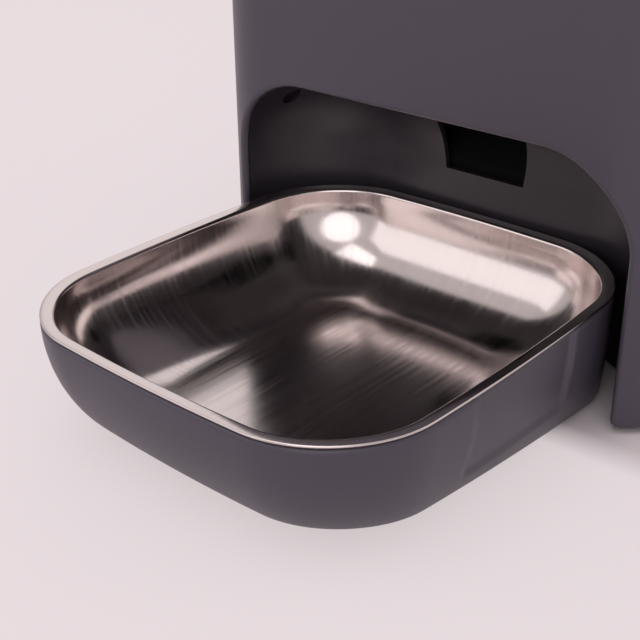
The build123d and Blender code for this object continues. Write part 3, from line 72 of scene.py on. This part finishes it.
def soft_box(name, bearing, rise, away, width, height, brightness, shape="RECTANGLE"):
    """A flat lamp at a bearing from the front and a rise, in degrees, and so far away, in metres."""
    lamp = bpy.data.lights.new(name, "AREA")
    lamp.shape = shape
    lamp.size = width
    lamp.size_y = height
    area = width * height * (math.pi / 4 if shape == "ELLIPSE" else 1)
    lamp.energy = brightness * math.pi * area
    lamp.color = LAMP_COLOUR
    bearing = math.radians(bearing)
    rise = math.radians(rise)
    way = Vector((math.sin(bearing) * math.cos(rise), -math.cos(bearing) * math.cos(rise), math.sin(rise)))
    holder = bpy.data.objects.new(name, lamp)
    holder.location = Vector((0, shell_low.y, LAMP_AIM_HEIGHT)) + way * away
    holder.rotation_euler = way.to_track_quat("Z", "Y").to_euler()
    holder.visible_camera = False
    bpy.context.scene.collection.objects.link(holder)


bpy.context.scene.view_settings.view_transform = "Standard"
soft_box("left_soft_box", bearing=-37, rise=23, away=1.8, width=1.6, height=1.0, brightness=0.75)
soft_box(
    "right_soft_box", bearing=36, rise=27, away=1.7, width=1.4, height=1.4, brightness=1.15, shape="ELLIPSE"
)
soft_box("top_soft_box", bearing=-10, rise=72, away=1.8, width=1.3, height=1.3, brightness=1.2)
soft_box("left_rear_soft_box", bearing=-145, rise=34, away=2.2, width=1.9, height=1.5, brightness=0.36)
soft_box("right_rear_soft_box", bearing=150, rise=42, away=2.2, width=1.5, height=1.2, brightness=0.5)


# The floor is a sheet of pale warm paper. It glows a little where it is seen or mirrored, which
# keeps its tone even, and the glow fades at the housing's foot, where the contact shadow lies.
PAPER = (0.79, 0.715, 0.735, 1)
PAPER_HALF = 8
PAPER_ROUGHNESS = 0.75
PAPER_SHEEN = 0.2
PAPER_SEEN = (0.885, 0.80, 0.82, 1)
PAPER_GLOW = 0.66
PAPER_MIRRORED = 0.5
GLOW_FADE = 14 * MM


def worked(tree, operation, one, other, kind="ShaderNodeMath"):
    """Joins two values, or two vectors, by an operation."""
    node = tree.nodes.new(kind)
    node.operation = operation
    for slot, value in enumerate((one, other)):
        if isinstance(value, bpy.types.NodeSocket):
            tree.links.new(value, node.inputs[slot])
        elif value is not None:
            node.inputs[slot].default_value = value
    return node.outputs[1] if operation == "LENGTH" else node.outputs[0]


def seen_directly(tree):
    """One for light that reaches the camera straight or through clear plastic, and for its mirrored light."""
    seen_by = tree.nodes.new("ShaderNodeLightPath").outputs
    straight = worked(tree, "MAXIMUM", seen_by["Is Camera Ray"], seen_by["Is Transmission Ray"])
    return straight, seen_by["Is Glossy Ray"]


def ranged(tree, factor, low, high, start=0.0, end=1.0):
    """Turns values from start to end into values from low to high."""
    spread = tree.nodes.new("ShaderNodeMapRange")
    spread.inputs["From Min"].default_value = start
    spread.inputs["From Max"].default_value = end
    spread.inputs["To Min"].default_value = low
    spread.inputs["To Max"].default_value = high
    tree.links.new(factor, spread.inputs["Value"])
    return spread.outputs["Result"]


paper_mesh = bmesh.new()
bmesh.ops.create_grid(paper_mesh, x_segments=2, y_segments=2, size=PAPER_HALF)
paper = bpy.data.objects.new("paper_floor", bpy.data.meshes.new("paper_floor"))
paper_mesh.to_mesh(paper.data)
paper_mesh.free()
bpy.context.scene.collection.objects.link(paper)
paper_finish = bpy.data.materials.new("pale_paper")
paper_finish.use_nodes = True
tree = paper_finish.node_tree
paper_shader = tree.nodes["Principled BSDF"]
paper_shader.inputs["Base Color"].default_value = PAPER
paper_shader.inputs["Roughness"].default_value = PAPER_ROUGHNESS
paper_shader.inputs["Specular IOR Level"].default_value = PAPER_SHEEN
paper_glow = tree.nodes.new("ShaderNodeEmission")
paper_glow.inputs["Color"].default_value = PAPER_SEEN
paper_look = tree.nodes.new("ShaderNodeMixShader")
shell_middle = (shell_low + shell_high) / 2
shell_half = (shell_high.x - shell_low.x) / 2
spot = tree.nodes.new("ShaderNodeTexCoord").outputs["Object"]
spot = worked(tree, "SUBTRACT", spot, (shell_middle.x, shell_middle.y, 0), "ShaderNodeVectorMath")
spot = worked(tree, "ABSOLUTE", spot, None, "ShaderNodeVectorMath")
spot = worked(tree, "SUBTRACT", spot, (shell_half, shell_half, 1), "ShaderNodeVectorMath")
spot = worked(tree, "MAXIMUM", spot, (0, 0, 0), "ShaderNodeVectorMath")
from_shell = worked(tree, "LENGTH", spot, None, "ShaderNodeVectorMath")
clear_of_shell = ranged(tree, from_shell, 0, PAPER_GLOW, 0, GLOW_FADE)
straight, mirrored = seen_directly(tree)
mirrored = worked(tree, "MULTIPLY", mirrored, PAPER_MIRRORED)
glowing = worked(tree, "MULTIPLY", worked(tree, "MAXIMUM", straight, mirrored), clear_of_shell)
tree.links.new(glowing, paper_look.inputs["Fac"])
tree.links.new(paper_shader.outputs["BSDF"], paper_look.inputs[1])
tree.links.new(paper_glow.outputs["Emission"], paper_look.inputs[2])
tree.links.new(paper_look.outputs["Shader"], tree.nodes["Material Output"].inputs["Surface"])
paper.data.materials.append(paper_finish)


# The room beyond the paper is plain and light. It is a little brighter where it is seen than
# where it is mirrored, and where it only lights the feeder it is dimmer still.
ROOM = (1.0, 0.945, 0.95, 1)
ROOM_LIGHT = 0.55
ROOM_SEEN = 0.85
ROOM_MIRRORED = 0.62
room = bpy.data.worlds.new("room")
room.use_nodes = True
tree = room.node_tree
background = tree.nodes["Background"]
background.inputs["Color"].default_value = ROOM
straight, mirrored = seen_directly(tree)
straight = ranged(tree, straight, ROOM_LIGHT, ROOM_SEEN)
mirrored = ranged(tree, mirrored, ROOM_LIGHT, ROOM_MIRRORED)
tree.links.new(worked(tree, "MAXIMUM", straight, mirrored), background.inputs["Strength"])
bpy.context.scene.world = room


# The bowl is one deep pressing in brushed stainless steel, with a flat rim turned down at its edge
# that rests on the tray. Its wall is one large sweep, which starts upright at the rim and runs out
# level into the floor.
RIM_CORNER = 35 * MM
RIM_BOW = 3.2 * MM
RIM_WIDTH = 4.3 * MM
RIM_ROUND = 0.4 * MM
RIM_LIP = 0.8 * MM
RIM_TUCK = 0.1 * MM
RIM_DISH = 0.35 * MM
WALL_EDGE = 1.2 * MM
BOWL_DEPTH = 34 * MM
BOWL_ROUND = 31 * MM
WALL_CORNER_LOSS = 0.75
FLOOR_INSET = 3 * MM
SHEET = 0.8 * MM
CORNER_STEPS = 20
SIDE_STEPS = 20
LIP_STEPS = 4
EDGE_STEPS = 6
WALL_STEPS = 20
rim_low, rim_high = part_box("steel_bowl")
rim_half_x = (rim_high.x - rim_low.x) / 2
rim_half_y = (rim_high.y - rim_low.y) / 2
rim_middle_y = (rim_high.y + rim_low.y) / 2


def plain_plan(bm, side_steps):
    """Draws the rim's outline without its bow at the origin; returns its vertices in order, turning left."""
    bmesh.ops.create_grid(bm, x_segments=1, y_segments=1, size=1)
    bmesh.ops.scale(bm, vec=(rim_half_x, rim_half_y, 1), verts=bm.verts)
    bmesh.ops.bevel(
        bm,
        geom=list(bm.verts),
        offset=RIM_CORNER,
        segments=CORNER_STEPS,
        affect="VERTICES",
        profile=0.5,
        material=-1,
    )
    straight = [e for e in bm.edges if e.calc_length() > RIM_CORNER / 2]
    bmesh.ops.subdivide_edges(bm, edges=straight, cuts=side_steps - 1)
    face = bm.faces[:][0]
    face.normal_update()
    if face.normal.z < 0:
        face.normal_flip()
    ring = [loop.vert for loop in face.loops]
    bmesh.ops.delete(bm, geom=[face], context="FACES_ONLY")
    return ring


def nested(point, half_x, half_y, corner):
    """Moves a point of the plain plan to a smaller one, with its own corners and with sides that swell."""
    core_x = max(min(point.x, rim_half_x - RIM_CORNER), RIM_CORNER - rim_half_x)
    core_y = max(min(point.y, rim_half_y - RIM_CORNER), RIM_CORNER - rim_half_y)
    x = core_x * (half_x - corner) / (rim_half_x - RIM_CORNER) + corner * (point.x - core_x) / RIM_CORNER
    y = core_y * (half_y - corner) / (rim_half_y - RIM_CORNER) + corner * (point.y - core_y) / RIM_CORNER
    return x * (1 - RIM_BOW / half_x * (y / half_y) ** 2), y * (1 - RIM_BOW / half_y * (x / half_x) ** 2)


def next_ring(bm, ring):
    """Extrudes a ring of vertices; returns the new ring in the same order."""
    edges = [bm.edges.get((ring[i - 1], ring[i])) for i in range(len(ring))]
    made = bmesh.ops.extrude_edge_only(bm, edges=edges)["geom"]
    fresh = {item for item in made if isinstance(item, bmesh.types.BMVert)}
    return [next(e.other_vert(v) for e in v.link_edges if e.other_vert(v) in fresh) for v in ring]


def draw_wall(bm, ring, section):
    """Draws a wall from a ring through a section of (distance inwards, height); returns all its rings."""
    home = [vert.co.copy() for vert in ring]
    rings = []
    for inwards, height in section:
        corner = RIM_CORNER - min(inwards, RIM_WIDTH) - WALL_CORNER_LOSS * max(inwards - RIM_WIDTH, 0)
        rings.append(next_ring(bm, rings[-1]) if rings else ring)
        for vert, start in zip(rings[-1], home):
            x, y = nested(start, rim_half_x - inwards, rim_half_y - inwards, corner)
            vert.co = (x, y + rim_middle_y, height)
    return rings


def bowl_section():
    """The bowl's section, from the turned-down edge over the rim and down the wall to the floor."""
    top = rim_high.z
    section = [(RIM_TUCK, top - RIM_LIP), (0, top - RIM_ROUND)]
    for step in range(1, LIP_STEPS + 1):
        turn = math.pi / 2 * step / LIP_STEPS
        section.append((RIM_ROUND * (1 - math.cos(turn)), top - RIM_ROUND * (1 - math.sin(turn))))
    wall_start = RIM_WIDTH - WALL_EDGE
    section.append((wall_start, top - RIM_DISH))
    draft = math.asin(1 - (BOWL_DEPTH - RIM_DISH) / (BOWL_ROUND + WALL_EDGE))
    for step in range(1, EDGE_STEPS + 1):
        turn = (math.pi / 2 - draft) * step / EDGE_STEPS
        height = top - RIM_DISH - WALL_EDGE * (1 - math.cos(turn))
        section.append((wall_start + WALL_EDGE * math.sin(turn), height))
    wall_inwards, wall_top = section[-1]
    for step in range(1, WALL_STEPS + 1):
        turn = draft + (math.pi / 2 - draft) * step / WALL_STEPS
        inwards = wall_inwards + BOWL_ROUND * (math.cos(draft) - math.cos(turn))
        section.append((inwards, wall_top - BOWL_ROUND * (math.sin(turn) - math.sin(draft))))
    return section


def grain_map(bm, rings):
    """Lays a map on the wall, in metres: round the rim, and down from it. The floor's map is its plan."""
    layer = bm.loops.layers.uv.new("brushing")
    around = [0.0]
    down = [0.0]
    for i in range(len(rings[0])):
        around.append(around[-1] + (rings[0][i].co - rings[0][i - 1].co).length)
    for upper, lower in zip(rings, rings[1:]):
        down.append(down[-1] + (upper[0].co - lower[0].co).length)
    place = {vert: (i, j) for j, ring in enumerate(rings) for i, vert in enumerate(ring)}
    last = len(rings[0]) - 1
    for face in bm.faces:
        spots = [place.get(loop.vert) for loop in face.loops]
        if len(face.loops) > 4 or None in spots:
            for loop in face.loops:
                loop[layer].uv = loop.vert.co.xy
            continue
        wraps = {i for i, j in spots} == {0, last}
        for loop, (i, j) in zip(face.loops, spots):
            loop[layer].uv = (around[last + 1 if wraps and i == 0 else i], down[j])


def finished_object(name, bm):
    """Turns a finished bmesh into a smooth-shaded object."""
    bmesh.ops.recalc_face_normals(bm, faces=bm.faces)
    mesh = bpy.data.meshes.new(name)
    bm.to_mesh(mesh)
    bm.free()
    mesh.shade_smooth()
    made = bpy.data.objects.new(name, mesh)
    bpy.context.scene.collection.objects.link(made)
    return made


bowl_mesh = bmesh.new()
rim_ring = plain_plan(bowl_mesh, SIDE_STEPS)
seam = max(range(len(rim_ring)), key=lambda i: rim_ring[i].co.x - rim_ring[i].co.y)
rim_ring = rim_ring[seam:] + rim_ring[:seam]
bowl_rings = draw_wall(bowl_mesh, rim_ring, bowl_section())
bowl_floor = bowl_mesh.faces.new(bowl_rings[-1])
bmesh.ops.inset_region(bowl_mesh, faces=[bowl_floor], thickness=FLOOR_INSET)
grain_map(bowl_mesh, bowl_rings)
bowl = finished_object("steel_bowl_pressing", bowl_mesh)
bowl_sheet = bowl.modifiers.new("sheet", "SOLIDIFY")
bowl_sheet.thickness = SHEET
bowl_sheet.offset = -1


def new_finish(name):
    """A new material, its node tree and its shader."""
    made = bpy.data.materials.new(name)
    made.use_nodes = True
    return made, made.node_tree, made.node_tree.nodes["Principled BSDF"]


def texture(tree, source, repeats, detail, roughness=0.5):
    """A noise pattern on a coordinate, with so many repeats to the metre each way."""
    spread = tree.nodes.new("ShaderNodeMapping")
    spread.inputs["Scale"].default_value = repeats
    noise = tree.nodes.new("ShaderNodeTexNoise")
    noise.inputs["Scale"].default_value = 1
    noise.inputs["Detail"].default_value = detail
    noise.inputs["Roughness"].default_value = roughness
    tree.links.new(source, spread.inputs["Vector"])
    tree.links.new(spread.outputs["Vector"], noise.inputs["Vector"])
    return noise.outputs["Fac"]


PATTERN_LOW = 0.3
PATTERN_HIGH = 0.7


def between(tree, factor, low, high):
    """Turns a pattern's middle range into values between low and high."""
    return ranged(tree, factor, low, high, PATTERN_LOW, PATTERN_HIGH)


def raise_grain(tree, shader, height, depth):
    """Raises a pattern from the surface by a real depth."""
    bump = tree.nodes.new("ShaderNodeBump")
    bump.inputs["Strength"].default_value = 1.0
    bump.inputs["Distance"].default_value = depth
    tree.links.new(height, bump.inputs["Height"])
    tree.links.new(bump.outputs["Normal"], shader.inputs["Normal"])


BOWL_STEEL = (0.67, 0.60, 0.585, 1)
BRUSH_REPEATS = (700, 14, 1)
BRUSH_DEPTH = 0.004 * MM
BRUSH_SMOOTH = 0.13
BRUSH_ROUGH = 0.21
steel, tree, shader = new_finish("brushed_bowl_steel")
shader.inputs["Base Color"].default_value = BOWL_STEEL
shader.inputs["Metallic"].default_value = 1
shader.inputs["Anisotropic"].default_value = 0.4
brush_line = tree.nodes.new("ShaderNodeUVMap")
brush_line.uv_map = "brushing"
brush_way = tree.nodes.new("ShaderNodeTangent")
brush_way.direction_type = "UV_MAP"
brush_way.uv_map = "brushing"
tree.links.new(brush_way.outputs["Tangent"], shader.inputs["Tangent"])
lines = texture(tree, brush_line.outputs["UV"], BRUSH_REPEATS, detail=2.0, roughness=0.55)
raise_grain(tree, shader, lines, BRUSH_DEPTH)
tree.links.new(between(tree, lines, BRUSH_SMOOTH, BRUSH_ROUGH), shader.inputs["Roughness"])
bowl.data.materials.append(steel)
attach(bowl, "bowl")
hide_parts("steel_bowl")


# The food tray is one hollow moulding in matte slate plastic, drawn in towards its foot. A shallow
# grip, open at the rim, is let into each side, and two tongues at its back enter slots in the bay.
# Two rubber strips let into its foot steady it on the floor.
HULL_FULLNESS = 0.93
HULL_FRONT = 28 * MM
HULL_SIDE = 21 * MM
HULL_BACK = 2.5 * MM
HULL_WALL = 2.4 * MM
HULL_EDGE = 0.5 * MM
CORNER_PER_DRAW = 0.4
CORNER_PER_INSET = 0.8
HULL_LEVELS = 30
HULL_SIDE_STEPS = 60
GRIP_LENGTH = 50 * MM
GRIP_FOOT = 13 * MM
GRIP_CORNER = 2.5 * MM
GRIP_DEPTH = 0.9 * MM
GRIP_BLEND = 2.4 * MM
GRIP_FROM_FACE = 12 * MM
RIM_GAP = 0.5 * MM
TONGUE_SPREAD = 30 * MM
TONGUE_HEIGHT = 12 * MM
TONGUE = Vector((14, 11, 3.2)) * MM
tray_low, tray_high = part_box("food_tray")
hull_top = rim_high.z - RIM_LIP - RIM_GAP


def hull_place(point, height, inset):
    """Moves a point of the plain plan to the hull's outline at a height."""
    level = (height - tray_low.z) / (tray_high.z - tray_low.z)
    draw_in = 1 - math.sqrt(1 - HULL_FULLNESS * (1 - level) ** 2)
    corner = RIM_CORNER - CORNER_PER_DRAW * HULL_FRONT * draw_in - CORNER_PER_INSET * inset
    rearward = (point.y / rim_half_y + 1) / 2
    half_x = rim_half_x - inset - draw_in * (HULL_SIDE + (HULL_BACK - HULL_SIDE) * rearward)
    half_y = rim_half_y - inset - draw_in * (HULL_FRONT + HULL_BACK) / 2
    x, y = nested(point, half_x, half_y, corner)
    return x, y + rim_middle_y + draw_in * (HULL_FRONT - HULL_BACK) / 2


def grip_share(y, height):
    """One in the grip's floor, nought on the hull's side, and between them along the grip's soft edge."""
    off_y = abs(y - (shell_low.y - GRIP_FROM_FACE - GRIP_LENGTH / 2)) - GRIP_LENGTH / 2 + GRIP_CORNER
    off_z = GRIP_FOOT - height + GRIP_CORNER
    outside = math.hypot(max(off_y, 0), max(off_z, 0)) + min(max(off_y, off_z), 0) - GRIP_CORNER
    share = min(max(0.5 - outside / GRIP_BLEND, 0), 1)
    return share * share * (3 - 2 * share)


tray_mesh = bmesh.new()
tray_ring = plain_plan(tray_mesh, HULL_SIDE_STEPS)
tray_home = [vert.co.copy() for vert in tray_ring]
row_step = (hull_top - tray_low.z - 2 * HULL_EDGE) / HULL_LEVELS
outside_heights = [tray_low.z + HULL_EDGE + i * row_step for i in range(HULL_LEVELS + 1)]
hull_rows = [(tray_low.z, HULL_EDGE)] + [(height, 0) for height in outside_heights]
hull_rows += [(hull_top, HULL_EDGE), (hull_top, HULL_WALL - HULL_EDGE)]
hull_rows += [(height, HULL_WALL) for height in reversed(outside_heights) if height > tray_low.z + HULL_WALL]
tray_rings = []
for height, inset in hull_rows:
    tray_rings.append(next_ring(tray_mesh, tray_rings[-1]) if tray_rings else tray_ring)
    for vert, home in zip(tray_rings[-1], tray_home):
        x, y = hull_place(home, height, inset)
        x -= math.copysign(GRIP_DEPTH * grip_share(y, height), x)
        vert.co = (x, y, height)
tray_mesh.faces.new(tray_rings[0])
tray_mesh.faces.new(tray_rings[-1])
for side in (-1, 1):
    tongue = bmesh.ops.create_cube(tray_mesh, size=1)["verts"]
    bmesh.ops.scale(tray_mesh, vec=TONGUE, verts=tongue)
    tongue_place = (side * TONGUE_SPREAD, tray_high.y - TONGUE.y / 2, tray_low.z + TONGUE_HEIGHT)
    bmesh.ops.translate(tray_mesh, vec=tongue_place, verts=tongue)
tray = finished_object("food_tray_moulding", tray_mesh)
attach(tray, "tray")
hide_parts("food_tray")


def tinted(tree, factor, low, high):
    """Mixes two colours, each of them plain or a pattern's own, by a factor."""
    mixed = tree.nodes.new("ShaderNodeMix")
    mixed.data_type = "RGBA"
    for side, colour in (("A", low), ("B", high)):
        if isinstance(colour, bpy.types.NodeSocket):
            tree.links.new(colour, mixed.inputs[side])
        else:
            mixed.inputs[side].default_value = (*colour, 1)
    tree.links.new(factor, mixed.inputs["Factor"])
    return mixed.outputs["Result"]


CLOUD_REPEATS = (30, 30, 30)
CLOUD_SHEEN = 0.03


def moulded(name, colour, roughness, grain=0.4 * MM, depth=0.004 * MM, cloud=0.05):
    """Moulded plastic: a fine spark-eroded grain, with a slightly uneven colour and sheen."""
    made, tree, shader = new_finish(name)
    place = tree.nodes.new("ShaderNodeTexCoord").outputs["Object"]
    clouds = texture(tree, place, CLOUD_REPEATS, detail=3.0)
    grains = texture(tree, place, (1 / grain, 1 / grain, 1 / grain), detail=2.0)
    pale = [c * (1 + cloud) for c in colour]
    deep = [c * (1 - cloud) for c in colour]
    tree.links.new(tinted(tree, clouds, deep, pale), shader.inputs["Base Color"])
    sheen = between(tree, clouds, roughness - CLOUD_SHEEN, roughness + CLOUD_SHEEN)
    tree.links.new(sheen, shader.inputs["Roughness"])
    raise_grain(tree, shader, grains, depth)
    return made


def dress(node, finish):
    """Gives a solid that stays in view its finish."""
    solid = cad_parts[node]
    solid.data.materials.clear()
    solid.data.materials.append(finish)


SLATE = (0.062, 0.052, 0.073)
slate = moulded("slate_plastic", SLATE, 0.38)
tray.data.materials.append(slate)

FOOT_RUBBER = (0.020, 0.019, 0.021)
foot_rubber = moulded("foot_rubber", FOOT_RUBBER, 0.75, grain=0.6 * MM, depth=0.02 * MM, cloud=0.12)
dress("tray_pads", foot_rubber)


# The housing is a moulded sleeve in the same slate plastic as the tray, on four feet in the same
# rubber as the tray's strips. One rounded edge runs round its arch and its foot.
dress("outer_shell", slate)
dress("rubber_feet", foot_rubber)


# The pocket behind the arch is a separate moulding, darker than the housing: partly its own plastic,
# and partly painted shade for the deep recess. Two dark sensor lenses are let into its sides. Behind
# its outlet the chute is near-black, far darker than the black plastic, as painted shade for the inside
# of the chute. The deck, the base with its battery door, the gearbox and the button's switch are in a
# plainer black plastic.
# The bay's colour is darker than its plastic alone: painted shade for the deep recess is mixed into it.
BAY_SLATE_AND_SHADE = (0.028, 0.023, 0.031)
LENS = (0.012, 0.010, 0.013)
BLACK = (0.012, 0.011, 0.013)
# The chute's near-black is black plastic darkened much further, as painted shade for the inside of the
# outlet.
CHUTE_BLACK_AND_SHADE = (0.0014, 0.0013, 0.0017)


def adjust(finish, setting, value):
    """Changes one setting of a finish's shader."""
    finish.node_tree.nodes["Principled BSDF"].inputs[setting].default_value = value


# The liner's finish carries the bay's painted shade.
dress("bay_liner", moulded("bay_plastic_and_shade", BAY_SLATE_AND_SHADE, 0.38))
lens = moulded("dark_lens", LENS, 0.14, grain=2.0 * MM, depth=0.0005 * MM)
adjust(lens, "Coat Weight", 0.6)
dress("sensor_eyes", lens)
black = moulded("black_plastic", BLACK, 0.55, grain=0.5 * MM, depth=0.006 * MM, cloud=0.1)
# Painted shade: the chute is near-black and has little sheen, so that the outlet reads as deep shade.
chute_black_and_shade = moulded("chute_black_and_painted_shade", CHUTE_BLACK_AND_SHADE, 0.6)
adjust(chute_black_and_shade, "Specular IOR Level", 0.08)
dress("chute", chute_black_and_shade)
for node in ("deck", "base_plate", "battery_door", "gearbox_housing", "gearbox_cover", "button_switch"):
    dress(node, black)


# The hopper's tank is one clear moulding, smoked grey and polished, with the faint haze and fine
# rub marks that dry food leaves on it.
SMOKE = (0.40, 0.375, 0.41, 1)
CLEAR_PLASTIC_IOR = 1.49
RUB_REPEATS = (220, 220, 18)
RUB_SMOOTH = 0.03
RUB_ROUGH = 0.12
WAVE_REPEATS = (60, 60, 60)
WAVE_DEPTH = 0.004 * MM
smoked, tree, shader = new_finish("smoked_clear_plastic")
shader.inputs["Base Color"].default_value = SMOKE
shader.inputs["Transmission Weight"].default_value = 1
shader.inputs["IOR"].default_value = CLEAR_PLASTIC_IOR
place = tree.nodes.new("ShaderNodeTexCoord").outputs["Object"]
rubs = texture(tree, place, RUB_REPEATS, detail=2.0)
tree.links.new(between(tree, rubs, RUB_SMOOTH, RUB_ROUGH), shader.inputs["Roughness"])
raise_grain(tree, shader, texture(tree, place, WAVE_REPEATS, detail=2.0), WAVE_DEPTH)
dress("hopper_tank", smoked)


# The lid is slate like the housing, and its knob and the feed button are a shade paler. The plate
# that closes the lid from below takes the bay's darker colour, painted shade included, and a soft
# pale seal runs round the skirt.
KNOB_SLATE = (0.090, 0.076, 0.098)
SEAL_GREY = (0.33, 0.32, 0.33)
dress("lid", slate)
dress("twist_knob", moulded("knob_plastic", KNOB_SLATE, 0.36))
dress("feed_button", moulded("button_plastic", KNOB_SLATE, 0.36))
# The plate borrows the bay's colour, painted shade included.
dress("lid_plate", moulded("plate_plastic", BAY_SLATE_AND_SHADE, 0.45))
dress("lid_seal", moulded("seal_silicone", SEAL_GREY, 0.5, grain=1.0 * MM, depth=0.01 * MM))


# What touches the food inside is pale moulded plastic: the rotor well, the rotor and its guard,
# the stirrer and the drying pod's cap. The bag of drying beads is white paper felt.
FOOD_PLASTIC = (0.56, 0.55, 0.53)
DRYING_BAG = (0.74, 0.73, 0.70)
food_plastic = moulded("food_plastic", FOOD_PLASTIC, 0.40, grain=0.5 * MM, depth=0.003 * MM, cloud=0.03)
for node in ("rotor_well", "metering_rotor", "rotor_guard", "stirrer", "desiccant_cover"):
    dress(node, food_plastic)
dress("desiccant_pack", moulded("drying_bag", DRYING_BAG, 0.85, grain=0.25 * MM, depth=0.06 * MM))


# The gears, the bush and the lid's bolts are natural acetal, a pale and slightly waxy plastic that
# turns and slides without grease.
ACETAL = (0.74, 0.72, 0.66)
ACETAL_WAX = (2.0 * MM, 1.8 * MM, 1.4 * MM)
acetal = moulded("natural_acetal", ACETAL, 0.34, grain=0.8 * MM, depth=0.002 * MM, cloud=0.02)
adjust(acetal, "Subsurface Weight", 0.15)
adjust(acetal, "Subsurface Radius", ACETAL_WAX)
gears = ("output_gear", "idler_gear", "motor_pinion", "latch_pinion")
for node in gears + ("well_bush", "left_bolt", "right_bolt"):
    dress(node, acetal)


# The pins, the motor's can, the screws and the contacts are bare or plated metal, each with the
# fine marks of how it was made: ground along its length, drawn, tumbled or rolled.
GROUND_STEEL = (0.60, 0.60, 0.60)
DRAWN_CAN = (0.50, 0.51, 0.52)
NICKEL = (0.66, 0.63, 0.57)
ZINC = (0.52, 0.52, 0.54)
METAL_CLOUDS = (80, 80, 80)
METAL_PALE = 1.06
METAL_DEEP = 0.92
MARK_SMOOTHER = 0.06
MARK_ROUGHER = 0.08


def metal(name, colour, roughness, repeats, depth):
    """Plain metal with fine marks stretched along some of its axes."""
    made, tree, shader = new_finish(name)
    shader.inputs["Metallic"].default_value = 1
    place = tree.nodes.new("ShaderNodeTexCoord").outputs["Object"]
    marks = texture(tree, place, repeats, detail=3.0)
    clouds = texture(tree, place, METAL_CLOUDS, detail=2.0)
    pale = [c * METAL_PALE for c in colour]
    deep = [c * METAL_DEEP for c in colour]
    tree.links.new(tinted(tree, clouds, deep, pale), shader.inputs["Base Color"])
    sheen = between(tree, marks, roughness - MARK_SMOOTHER, roughness + MARK_ROUGHER)
    tree.links.new(sheen, shader.inputs["Roughness"])
    raise_grain(tree, shader, marks, depth)
    return made


ground_pin = metal("ground_steel", GROUND_STEEL, 0.25, (3000, 3000, 200), 0.001 * MM)
dress("gear_axles", ground_pin)
dress("motor_shaft", ground_pin)
dress("gear_motor", metal("drawn_can", DRAWN_CAN, 0.38, (900, 900, 60), 0.002 * MM))
contact_metal = metal("nickel_plate", NICKEL, 0.28, (1200, 1200, 1200), 0.001 * MM)
dress("battery_contacts", contact_metal)
dress("power_socket", contact_metal)
zinc = metal("zinc_plate", ZINC, 0.36, (1500, 1500, 1500), 0.003 * MM)
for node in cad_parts:
    if node.endswith(("_screws", "_screw")):
        dress(node, zinc)


# The cells are steel cans in a dark film, with a band of silver film at one end and bare nickel on
# that end's cap. The three lie side by side with their bands in line.
CELL_FILM = (0.020, 0.020, 0.024)
CELL_BAND = (0.42, 0.41, 0.42)
CELL_BAND_WIDTH = 14 * MM
CELL_END = 2.2 * MM
EDGE_SOFTNESS = 0.05 * MM
cell_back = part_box("backup_cells")[1].y


def past(tree, axis, edge):
    """One past an edge along an axis of the model, and nought before it."""
    parts = tree.nodes.new("ShaderNodeSeparateXYZ")
    tree.links.new(tree.nodes.new("ShaderNodeTexCoord").outputs["Object"], parts.inputs["Vector"])
    return ranged(tree, parts.outputs[axis], 0, 1, edge - EDGE_SOFTNESS, edge + EDGE_SOFTNESS)


cell_finish = moulded("cell_film", CELL_FILM, 0.3, grain=1.5 * MM, depth=0.002 * MM)
tree = cell_finish.node_tree
shader = tree.nodes["Principled BSDF"]
film = shader.inputs["Base Color"].links[0].from_socket
banded = tinted(tree, past(tree, "Y", cell_back - CELL_BAND_WIDTH), film, CELL_BAND)
tree.links.new(banded, shader.inputs["Base Color"])
tree.links.new(past(tree, "Y", cell_back - CELL_END), shader.inputs["Metallic"])
dress("backup_cells", cell_finish)


# The two boards are green lacquer over fine copper tracks, which stand a little proud under it.
# What stands on the main board is moulded in black.
BOARD_GREEN = (0.012, 0.085, 0.040)
TRACK_GREEN = (0.030, 0.150, 0.075)
TRACK_REPEATS = 260
TRACK_EDGE = 0.05
TRACK_CLEAR = 0.09
TRACK_RISE = 0.03 * MM
LACQUER_REPEATS = (120, 120, 120)
LACQUER_SMOOTH = 0.25
LACQUER_ROUGH = 0.35
BOARD_THICK = 1.6 * MM
BOARD_MARGIN = 0.1 * MM
board_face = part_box("main_board")[1].y - BOARD_THICK
for name, has_chips in (("main_board", True), ("front_board", False)):
    made, tree, shader = new_finish(name + "_lacquer")
    place = tree.nodes.new("ShaderNodeTexCoord").outputs["Object"]
    tracks = tree.nodes.new("ShaderNodeTexVoronoi")
    tracks.feature = "DISTANCE_TO_EDGE"
    tracks.inputs["Scale"].default_value = TRACK_REPEATS
    tree.links.new(place, tracks.inputs["Vector"])
    clear_of_track = ranged(tree, tracks.outputs["Distance"], 0, 1, TRACK_EDGE, TRACK_CLEAR)
    colour = tinted(tree, clear_of_track, TRACK_GREEN, BOARD_GREEN)
    raise_grain(tree, shader, clear_of_track, -TRACK_RISE)
    if has_chips:
        colour = tinted(tree, past(tree, "Y", board_face - BOARD_MARGIN), BLACK, colour)
    tree.links.new(colour, shader.inputs["Base Color"])
    lacquer = texture(tree, place, LACQUER_REPEATS, detail=2.0)
    tree.links.new(between(tree, lacquer, LACQUER_SMOOTH, LACQUER_ROUGH), shader.inputs["Roughness"])
    dress(name, made)


# The status light's guide is a frosted clear pin. It is held between the front board and the
# housing, and shows as a small spot above the feed button.
FROSTED = (0.72, 0.76, 0.78)
frosted = moulded("frosted_clear", FROSTED, 0.4, grain=0.3 * MM, depth=0.004 * MM)
adjust(frosted, "Transmission Weight", 0.7)
dress("light_guide", frosted)
